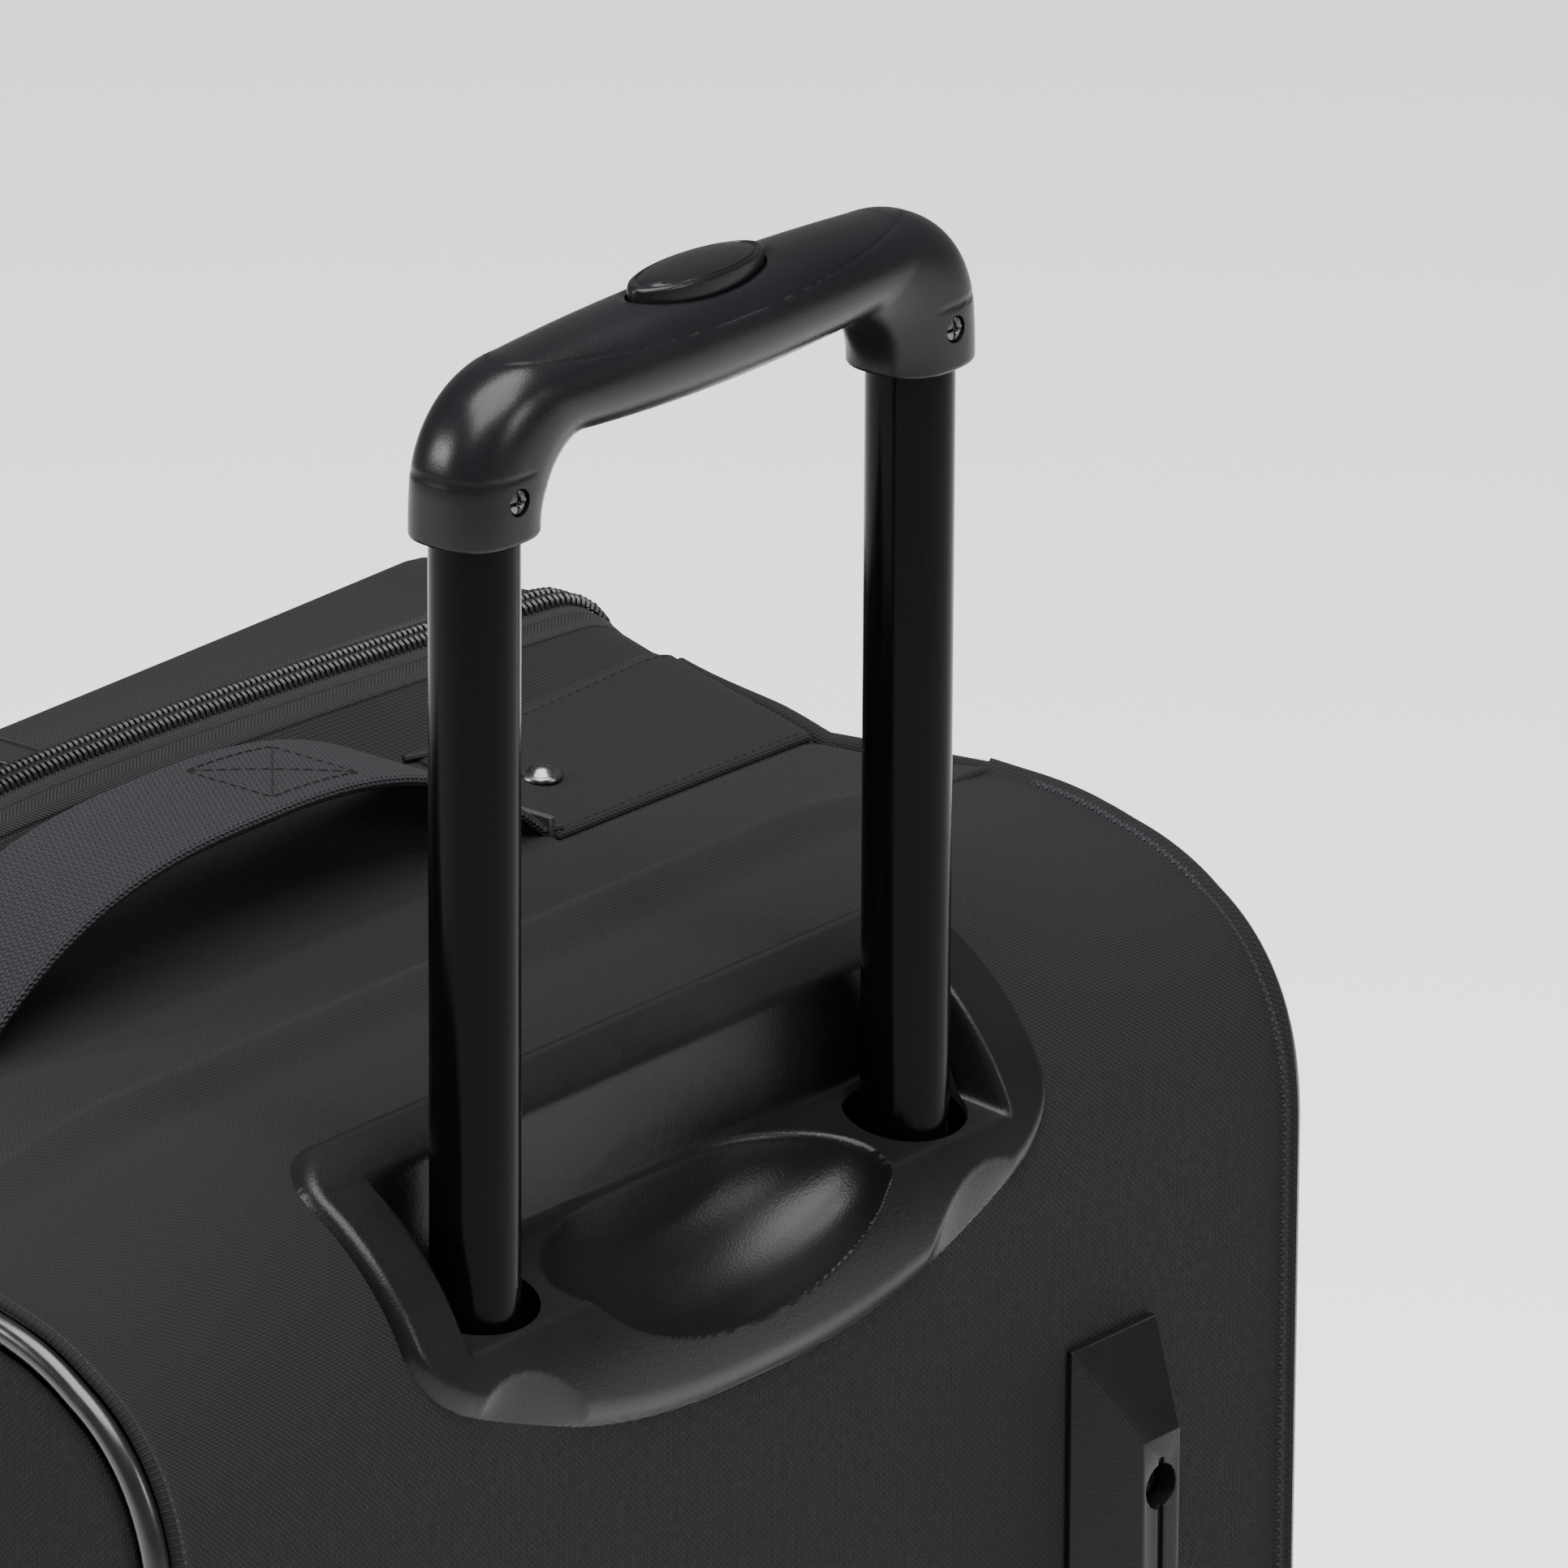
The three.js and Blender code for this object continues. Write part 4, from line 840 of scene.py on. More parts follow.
class SUITCASE_OT_shell(bpy.types.Operator):
    """Rear shell, top panel, side panels and piping"""

    bl_idname = "suitcase.shell"
    bl_label = "Shell and panels"

    def execute(self, context):
        self.rear_shell()
        self.top_panel()
        self.side_panels()
        self.piping()
        return {"FINISHED"}

    def rear_shell(self):
        points, uv = shell_surface(300, 180)
        t = across_fold(points[..., 1], points[..., 2])
        hole = signed_distance(points[..., 0], t, bezel_outline()) > 0.0045
        front = points[..., 1] > BACK - 0.09
        notch = ((np.abs(points[..., 0]) > HOUSING[0].x - 0.0005)
                 & (points[..., 2] < HOUSING[1].z + 0.0005))
        gone = hole & front
        keep = ~(gone[:-1, :-1] | gone[1:, :-1] | gone[:-1, 1:] | gone[1:, 1:])
        keep &= ~(notch[:-1, :-1] & notch[1:, :-1] & notch[:-1, 1:] & notch[1:, 1:])
        obj = skin("rear_shell", points, uv, fabric(), keep=keep)
        thicken(obj, BOARD, lining())
        finish_piece(obj, "root", "case_fabric", "back_shell")

    def top_panel(self):
        half = HALF - 2 * BEAD_R + 0.0002
        y = np.linspace(BAND_END - 0.0006, WRAP_Y + 0.0015, 70)
        x = np.linspace(-half, half, 180)
        gx, gy = np.meshgrid(x, y)
        edge = np.clip(1 - (half - np.abs(gx)) / 0.006, 0, 1) ** 2
        fold = -0.0007 * np.exp(-((gy - FOLD_Y) / 0.0016) ** 2)
        turn = np.clip(1 - (HALF - np.abs(gx)) / CORNER, 0, 1)
        gz = TOP + top_rise(gy, gx) * sag(gx) - 0.0014 * edge + fold
        gz -= shoulder(gy) * (1 - np.sqrt(1 - turn ** 2))
        points = np.stack([gx, gy, gz], -1)
        obj = skin("top_panel_cloth", points, np.stack([gx, gy], -1), fabric())
        thicken(obj, BOARD, lining())
        finish_piece(obj, "root", "case_fabric", "top_panel")

    def side_panels(self):
        inset = 2 * BEAD_R + 0.0001
        corner = corner_profile(-inset, 40)
        for name, side in SIDES:
            rows = 150
            z_low, z_high = BASE, TOP - inset
            z = np.linspace(z_low, z_high, rows)
            rear = np.where(z < TOP - ROUND, BACK - inset,
                            np.interp(z, corner[:, 1], corner[:, 0]))
            columns = 60
            share = np.linspace(0, 1, columns)
            gy = BAND_END - 0.0004 + (rear[:, None] - BAND_END) * share[None]
            gz = np.broadcast_to(z[:, None], gy.shape)
            brim = np.interp(gy, corner[::-1, 0], corner[::-1, 1])
            gz = gz + edge_rise(gy) * smoothstep(gz - brim, -0.05, -0.002)
            near = np.minimum.reduce([gy - BAND_END, (rear[:, None] - gy), z_high - gz, gz - z_low])
            puff = 0.0022 * smoothstep(near, 0.0, 0.045) - 0.001 * np.clip(1 - near / 0.004, 0, 1)
            gx = side * (HALF + puff)
            points = np.stack([gx, gy, gz], -1)
            notch = (gy > HOUSING[0].y - 0.0006) & (gz < HOUSING[1].z + 0.0006)
            keep = ~(notch[:-1, :-1] & notch[1:, :-1] & notch[:-1, 1:] & notch[1:, 1:])
            obj = skin(f"side_cloth_{name}", points, np.stack([gy, gz], -1), fabric(), keep=keep)
            face_outwards(obj, (side, 0, 0))
            thicken(obj, BOARD, lining())
            finish_piece(obj, "root", "case_fabric", f"side_panel_{name}")

    def piping(self):
        inset = BEAD_R * 0.92
        corner = corner_profile(-inset, 60)
        corner[:, 1] += edge_rise(corner[:, 0])
        low = np.stack([np.full(60, BACK - inset),
                        np.linspace(HOUSING[1].z, TOP - ROUND, 61)[:-1]], 1)
        y = np.linspace(BACK - ROUND, BAND_END, 40)[1:]
        ahead = np.stack([y, TOP - inset + edge_rise(y)], 1)
        beads = (("piping", np.concatenate([low, corner]), gloss_vinyl(), "piping"),
                 ("welt", np.concatenate([corner[-2:], ahead]), fabric(), "case_fabric"))
        for name, side in SIDES:
            for kind, line, finish, slot in beads:
                path = np.column_stack([np.full(len(line), side * (HALF - inset)), line])
                bead = tube_along(f"{kind}_{name}", path, BEAD_R, finish, sides=20, up=(1, 0, 0))
                nodes = (f"edge_piping_{name}",) if kind == "piping" else ()
                finish_piece(bead, "root", slot, *nodes)
            self.rib(name, side, np.concatenate([low, corner]))

    def rib(self, name, side, line):
        """Ribbed edge fold beside the glossy bead, on the shell's side of it."""
        rings = []
        for turn in np.radians(np.linspace(-20, 200, 9)):
            out = 0.0019 * math.sin(turn)
            rings.append((0.0019 * math.cos(turn), out))
        away = np.gradient(line, axis=0)
        normal = np.stack([away[:, 1], -away[:, 0]], 1)
        normal /= np.linalg.norm(normal, axis=1)[:, None]
        x0 = HALF - 2 * BEAD_R - 0.0012
        run = arc_length(line)
        points = np.array([np.column_stack([
            np.full(len(line), side * (x0 - across)), line + normal * (0.0022 + out)])
            for across, out in rings])
        uv = np.stack(np.meshgrid(np.arange(len(rings)) * 0.0007, run, indexing="ij"), -1)
        obj = skin(f"rib_{name}", points, uv, webbing())
        face_outwards(obj, (0, 0.7, 0.7))
        thicken(obj, 0.0008)
        finish_piece(obj, "root", "case_fabric")


def face_outwards(obj, direction):
    """Turns an open sheet's faces to the given side."""
    mesh = obj.data
    total = Vector()
    for face in mesh.polygons:
        total += face.normal * face.area
    if total.dot(Vector(direction)) < 0:
        mesh.flip_normals()


class SUITCASE_OT_lid(bpy.types.Operator):
    """Lid, band, front panel and pockets"""

    bl_idname = "suitcase.lid"
    bl_label = "Lid and pockets"

    def execute(self, context):
        tape = 0.0125
        turn = np.radians(np.linspace(90, 0, 9))[:-1]
        depth = np.concatenate([LID_FRONT + FOLD - FOLD * np.sin(turn),
                                np.linspace(LID_FRONT + FOLD, ZIP_Y - tape, 22)])
        drop = np.concatenate([FOLD * (np.cos(turn) - 1), np.zeros(22)])
        strip("lid_side_cloth", depth, drop, "lid", "case_fabric", fabric(), "lid_band",
              "lid_hinge_band", inner=lining())
        strip("band_cloth", np.linspace(ZIP_Y + tape, BAND_END + 0.001, 14), 0.0, "root",
              "case_fabric", fabric(), "case_band", inner=lining())
        self.hinge(tape)
        self.front_panel()
        for name in ("lower", "upper"):
            self.pocket(name)
        return {"FINISHED"}

    def hinge(self, tape):
        """Cloth that carries lid and band on to each other below the zipper's ends."""
        flat, _, _ = hoop()
        under = np.where(flat[:-1, 1] <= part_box("zipper_tape_lid")[0].z + 0.012)[0]
        half = len(flat) // 2
        part = np.concatenate([under[under > half], under[under <= half]])
        for name, side, body in (("lid", -1, "lid"), ("case", 1, "root")):
            depth = ZIP_Y + side * np.linspace(0.0003, tape + 0.0004, 8)
            strip(f"hinge_cloth_{name}", depth, 0.0, body, "case_fabric", fabric(), inner=lining(),
                  part=part)

    def front_panel(self):
        rings = []
        shares = np.concatenate([np.linspace(0, 0.05, 8), np.linspace(0.05, 1, 40)[1:]])
        centre = np.array([0.0, (BASE + LID_TOP) / 2])
        flat = strip_points([LID_FRONT + FOLD], -FOLD)[0][0][:, [0, 2]]
        for share in shares:
            ring = flat[:-1] + (centre - flat[:-1]) * share
            rings.append(ring)
        ring = np.array(rings)
        depth = 0.0028 * smoothstep(np.minimum(shares, 0.25), 0.0, 0.25)
        y = LID_FRONT + 0.0002 - depth
        depths = np.broadcast_to(y[:, None], ring[..., 0].shape)
        points = np.stack([ring[..., 0], depths, ring[..., 1]], -1)
        uv = np.concatenate([ring, ring[:, :1]], 1)
        obj = skin("lid_face_cloth", points[:-1], uv[:-1], fabric(), wrap=(False, True))
        bm = bmesh.new()
        bm.from_mesh(obj.data)
        middle = Vector((0.0, LID_FRONT, centre[1]))
        rim = [e for e in bm.edges if e.is_boundary and (e.verts[0].co - middle).length < 0.02]
        bmesh.ops.holes_fill(bm, edges=rim)
        bm.to_mesh(obj.data)
        bm.free()
        face_outwards(obj, (0, -1, 0))
        thicken(obj, BOARD, lining())
        finish_piece(obj, "lid", "case_fabric", "lid_panel")

    def pocket(self, name):
        low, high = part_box(f"{name}_pocket")
        front, rear = low.y, high.y
        half, bottom, top = high.x, low.z, high.z
        corner = 0.024
        outline = []
        side, foot, head = half - corner, bottom + corner, top - corner
        for cx, cz, a0 in ((side, foot, -90), (side, head, 0), (-side, head, 90), (-side, foot, 180)):
            for q in np.radians(np.linspace(a0, a0 + 90, 9)):
                outline.append((cx + corner * math.cos(q), cz + corner * math.sin(q)))
        outline = np.array(outline)
        dense = np.concatenate([outline, outline[:1]])
        run = arc_length(dense)
        at = np.linspace(0, run[-1], 241)[:-1]
        loop = np.stack([np.interp(at, run, dense[:, k]) for k in range(2)], 1)
        centre = np.array([0.0, (bottom + top) / 2])
        rows = []
        depth = rear - front
        for level in (0.0, 0.3, 0.6, 0.85):
            rows.append((0.0, rear - depth * level * 0.86))
        for share in (0.004, 0.012, 0.022, 0.036, 0.06, 0.1, 0.16, 0.24, 0.34, 0.46, 0.6, 0.76,
                      0.92):
            bulge = 1 - (1 - min(share / 0.2, 1)) ** 2.4
            rows.append((share, rear - depth * (0.86 + 0.13 * bulge) + 0.0004))
        points = np.array([np.column_stack([
            (loop[:, 0] + (centre[0] - loop[:, 0]) * share), np.full(len(loop), y),
            (loop[:, 1] + (centre[1] - loop[:, 1]) * share)]) for share, y in rows])
        uv = points[..., [0, 2]]
        uv = np.concatenate([uv, uv[:, :1]], 1)
        obj = skin(f"{name}_pocket_cloth", points, uv, fabric(), wrap=(False, True))
        bm = bmesh.new()
        bm.from_mesh(obj.data)
        rim = [e for e in bm.edges if e.is_boundary and abs(e.verts[0].co.y - rear) > 0.004]
        bmesh.ops.holes_fill(bm, edges=rim)
        bmesh.ops.triangulate(bm, faces=[f for f in bm.faces if len(f.verts) > 4])
        bm.to_mesh(obj.data)
        bm.free()
        face_outwards(obj, (0, -1, 0))
        thicken(obj, 0.0018, lining())
        finish_piece(obj, "lid", "case_fabric", f"{name}_pocket")


class SUITCASE_OT_zippers(bpy.types.Operator):
    """Main zipper with its tapes, coils, sliders and pull tabs, and the pocket zippers"""

    bl_idname = "suitcase.zippers"
    bl_label = "Zippers"

    def execute(self, context):
        self.tapes()
        self.coils()
        self.sliders()
        self.pocket_zippers()
        return {"FINISHED"}

    def run_part(self):
        """The part of the hoop that the zipper covers: both sides and the top."""
        flat, _, _ = hoop()
        return np.where(flat[:, 1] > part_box("zipper_tape_lid")[0].z)[0]

    def tapes(self):
        part = self.run_part()
        for name, side, body in (("lid", -1, "lid"), ("case", 1, "root")):
            y = ZIP_Y + side * np.linspace(0.0024, 0.0134, 12)
            lift = 0.0007 - 0.0006 * np.linspace(0, 1, 12) ** 3
            points, uv = strip_points(y, lift)
            uv = uv.copy()
            uv[..., 1] = np.abs(uv[..., 1] - ZIP_Y) - 0.0028
            obj = skin(f"tape_{name}", points[:, part], uv[:, part], zipper_tape())
            face_outwards(obj, (0, 0, 1))
            thicken(obj, 0.0008, offset=-1.0)
            finish_piece(obj, body, "zipper_tape", f"zipper_tape_{name}")

    def coils(self):
        part = self.run_part()
        _, normal, _ = hoop()
        middle, _ = strip_points([ZIP_Y], 0.0009)
        path = middle[0, part]
        out = np.column_stack([normal[part, 0], np.zeros(len(part)), normal[part, 1]])
        pitch = sizes().coil
        spots, ahead = resampled(path, pitch)
        run, every = arc_length(path), arc_length(spots)
        share = every / every[-1] * run[-1]
        ups = np.stack([np.interp(share, run, out[:, k]) for k in range(3)], 1)
        for name, side, body in (("lid", -1, "lid"), ("case", 1, "root")):
            along = ahead * side
            shift = ahead * (pitch * 0.25 * side)
            places = spots + shift + np.array([0, -side * 0.0006, 0])
            obj = repeated(f"coil_{name}", places, along, ups, small_arch(), coil_plastic(),
                           (0.0031, 0.0036))
            finish_piece(obj, body, "zipper_tape")

    def sliders(self):
        for name, _ in SIDES:
            low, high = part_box(f"main_slider_{name}")
            slider = slider_body(f"slider_{name}", (low + high) / 2, low.z - 0.0002 + 0.006, 1.0)
            finish_piece(slider, f"slider_{name}", "zip_metal", f"main_slider_{name}")
            low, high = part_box(f"pull_tab_{name}")
            tab = pull_tab(f"tab_{name}", low, high, 0.006)
            finish_piece(tab, f"tab_{name}", "zip_metal", f"pull_tab_{name}")

    def pocket_zippers(self):
        for name in ("lower", "upper"):
            low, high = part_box(f"{name}_pocket")
            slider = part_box(f"{name}_pocket_slider")
            half = high.x - 0.026
            y = (low.y + high.y) / 2
            x = np.linspace(-half, half, 60)
            across = np.linspace(-0.0052, 0.0052, 9)
            gx, gy = np.meshgrid(x, across)
            gz = np.full(gx.shape, high.z + 0.0003)
            obj = skin(f"{name}_pocket_tape", np.stack([gx, gy + y, gz], -1),
                       np.stack([gx, np.abs(gy)], -1), zipper_tape())
            face_outwards(obj, (0, 0, 1))
            thicken(obj, 0.0007, offset=-1.0)
            finish_piece(obj, "lid", "zipper_tape")
            path = np.column_stack([x, np.full(60, y), np.full(60, high.z + 0.0004)])
            spots, ahead = resampled(path, 0.0016)
            ups = np.tile((0.0, 0.0, 1.0), (len(spots), 1))
            for key, side in (("a", -1), ("b", 1)):
                shift = ahead * (0.0004 * side)
                coil = repeated(f"{name}_pocket_coil_{key}", spots + shift, ahead * side, ups,
                                small_arch(5, 5), coil_plastic(), (0.0026, 0.0026))
                finish_piece(coil, "lid", "zipper_tape")
            centre = (slider[0] + slider[1]) / 2
            body = slider_body(f"{name}_pocket_slider_body", Vector((centre.x, y, 0)), slider[0].z,
                               0.75)
            tab_low = Vector((centre.x - 0.0045, slider[0].y, slider[0].z + 0.0030))
            tab_high = Vector((centre.x + 0.0045, y - 0.003, slider[0].z + 0.0044))
            tab = pull_tab(f"{name}_pocket_tab", tab_low, tab_high, 0.0)
            both = joined(f"{name}_pocket_slider_set", [body, tab])
            finish_piece(both, f"{name}_slider", "zip_metal", f"{name}_pocket_slider")


def slider_body(name, centre, floor, size):
    """A zipper slider: a shield-shaped plate with a bridge over it."""
    length, width = 0.0150 * size, 0.0094 * size
    shares = np.linspace(0, 1, 13)
    half = width / 2 * (0.74 + 0.26 * np.sin(shares * math.pi * 0.86 + 0.35))
    rings = []
    for inset, height in ((0.0, 0.0), (0.0, 0.0016), (0.10, 0.0023), (0.35, 0.0026)):
        upper = np.column_stack([(shares - 0.5) * length * (1 - inset * 0.35), half * (1 - inset)])
        lower = upper[::-1] * (1, -1)
        ring = np.concatenate([upper, lower])
        rings.append(np.column_stack([ring, np.full(len(ring), height * size)]))
    points = np.array(rings) + np.array([centre.x, centre.y, floor])
    uv = np.zeros((len(rings), points.shape[1] + 1, 2))
    plate = skin(name, points, uv, zip_metal(), wrap=(False, True), caps=True)
    turn = np.linspace(0, math.pi, 9)
    bridge = np.column_stack([centre.x + 0.0042 * size * np.cos(turn), np.full(9, centre.y),
                              floor + (0.0020 + 0.0034 * np.sin(turn)) * size])
    arch = tube_along(name + "_bridge", bridge, 0.0011 * size, zip_metal(), sides=8, up=(0, 1, 0))
    return joined(name, [plate, arch])


def pull_tab(name, low, high, lift):
    """A flat pull with rounded corners and a raised rim."""
    centre = (low + high) / 2
    half_x, half_y = (high.x - low.x) / 2, (high.y - low.y) / 2
    corner = min(half_x, half_y) * 0.35
    outline = []
    for sx, sy, a0 in ((1, 1, 0), (-1, 1, 90), (-1, -1, 180), (1, -1, 270)):
        for q in np.radians(np.linspace(a0, a0 + 90, 6)):
            outline.append((sx * (half_x - corner) + corner * math.cos(q),
                            sy * (half_y - corner) + corner * math.sin(q)))
    outline = np.array(outline)
    thick = (high.z - low.z) / 2
    rows = ((0.86, -thick), (0.97, -thick * 0.85), (1.0, -thick * 0.4), (1.0, thick * 0.4),
            (0.97, thick * 0.85), (0.88, thick), (0.82, thick * 0.62), (0.4, thick * 0.62))
    points = np.array([np.column_stack([outline * share, np.full(len(outline), height)])
                       for share, height in rows])
    points += np.array([centre.x, centre.y, centre.z + lift])
    uv = np.zeros((len(rows), len(outline) + 1, 2))
    return skin(name, points, uv, zip_metal(), wrap=(False, True), caps=True)


# ---- Pieces: handle recess ---------------------------------------------------------------------

def smooth_min(a, b, reach):
    blend = np.clip(reach - np.abs(a - b), 0, None) / reach
    return np.minimum(a, b) - blend ** 2 * reach / 4


def smooth_max(a, b, reach):
    return -smooth_min(-a, -b, reach)


class SUITCASE_OT_recess(bpy.types.Operator):
    """Moulded handle recess with its finger bowl and the two tube holes"""

    bl_idname = "suitcase.recess"
    bl_label = "Handle recess"

    wall_y = TUBE_Y - 0.0145
    floor_front = -0.034
    floor_slope = 0.256
    lip_x = 0.0945

    def execute(self, context):
        x = np.linspace(-RIM_HALF - 0.001, RIM_HALF + 0.001, 300)
        t = np.linspace(-0.0545, 0.0335, 150)
        gx, gt = np.meshgrid(x, t)
        depth = signed_distance(gx, gt, bezel_outline())
        height = self.height(gx, gt, depth)
        k = 1 / math.sqrt(2)
        points = np.stack([gx, BACK + (height - gt) * k, TOP + (height + gt) * k], -1)
        keep = depth > -0.0008
        keep = keep[:-1, :-1] & keep[1:, :-1] & keep[:-1, 1:] & keep[1:, 1:]
        uv = np.stack([gx, gt], -1)
        obj = skin("recess_moulding", points, uv, moulding(), keep=keep, angle=50)
        face_outwards(obj, (0, k, k))
        thicken(obj, 0.0022)
        self.cut_holes(obj)
        smooth(obj.data, math.radians(50))
        finish_piece(obj, "root", "satin_plastic", "handle_bezel")
        return {"FINISHED"}

    def shell_height(self, t, proud):
        """Distance out along the fold of the shell's profile moved out by proud."""
        levels = []
        for offset in (-0.002, 0.003):
            rim = corner_profile(offset, 200)
            low = [[rim[0, 0], rim[0, 1] - 0.03]]
            high = [[rim[-1, 0] - 0.03, rim[-1, 1]]]
            rim = np.concatenate([low, rim, high])
            across = across_fold(rim[:, 0], rim[:, 1])
            levels.append(np.interp(t, across, along_fold(rim[:, 0], rim[:, 1])))
        return levels[0] + (levels[1] - levels[0]) * (proud + 0.002) / 0.005

    def height(self, x, t, depth):
        """Distance out along the fold of the moulding's face, by place on the fold."""
        round_edge = 0.0034
        fall = np.clip(1 - depth / round_edge, 0, 1)
        proud = sizes().bezel_proud - 0.0044 * (1 - np.sqrt(1 - np.clip(fall, 0, 0.999) ** 2))
        chamfer = 0.0085 * (1 - ((np.abs(x) - 0.0765) / 0.0185) ** 2)
        facet = sizes().bezel_proud * depth / np.maximum(chamfer, 0.0001) - 0.0002
        chamfered = (t < -0.03) & (chamfer > depth)
        proud = np.where(chamfered, np.minimum(proud, facet), proud)
        crest = 0.0004 * np.sin(math.pi * np.clip((t - 0.018) / 0.014, 0, 1))
        flange = self.shell_height(t, proud + crest)
        reach = (BACK - self.wall_y) * math.sqrt(2)
        wall = t - reach
        slope = self.floor_slope
        level = (self.floor_front - slope * (BACK - self.wall_y)) * math.sqrt(2)
        floor = (level - (1 - slope) * t) / (1 + slope)
        side = self.shell_height(t, 0.003) + (np.abs(x) - self.lip_x) * 2.7
        recess = smooth_max(smooth_max(floor, wall, 0.0016), side, 0.0030)
        surface = smooth_min(flange, recess, 0.0017)
        bowl = smooth_max(self.bowl(x, t), wall + 0.0006, 0.0030)
        return smooth_min(surface, bowl, 0.0022)

    def bowl(self, x, t):
        """Near side of the finger bowl, an ellipsoid, along the fold's direction."""
        k = 1 / math.sqrt(2)
        a, b, c = 0.055, 0.0245, 0.0275
        y0 = BACK - t * k - (TUBE_Y + 0.0085)
        z0 = t * k + 0.0355
        qa = k * k * (1 / b ** 2 + 1 / c ** 2)
        qb = 2 * k * (y0 / b ** 2 + z0 / c ** 2)
        qc = (x / a) ** 2 + (y0 / b) ** 2 + (z0 / c) ** 2 - 1
        inside = qb ** 2 - 4 * qa * qc
        lean = np.where(inside > 0, -1.0, 1.6)
        return (lean * np.sqrt(np.abs(inside)) - qb) / (2 * qa)

    def cut_holes(self, obj):
        for _, side in SIDES:
            turn = np.linspace(0, 2 * math.pi, 64, endpoint=False)
            ring = np.column_stack([side * TUBE_X + 0.0160 * np.cos(turn),
                                    TUBE_Y + 0.0132 * np.sin(turn)])
            points = np.array([np.column_stack([ring, np.full(64, z)])
                               for z in (TOP - 0.055, TOP - 0.020)])
            cutter = skin("hole_cutter", points, np.zeros((2, 65, 2)), painted_shade_fill(),
                          wrap=(False, True), caps=True)
            cut = obj.modifiers.new("Hole", "BOOLEAN")
            cut.operation = "DIFFERENCE"
            cut.solver = "MANIFOLD"
            cut.object = cutter
            apply_modifiers(obj)
            bpy.data.objects.remove(cutter)


# ---- Pieces: telescopic handle -----------------------------------------------------------------

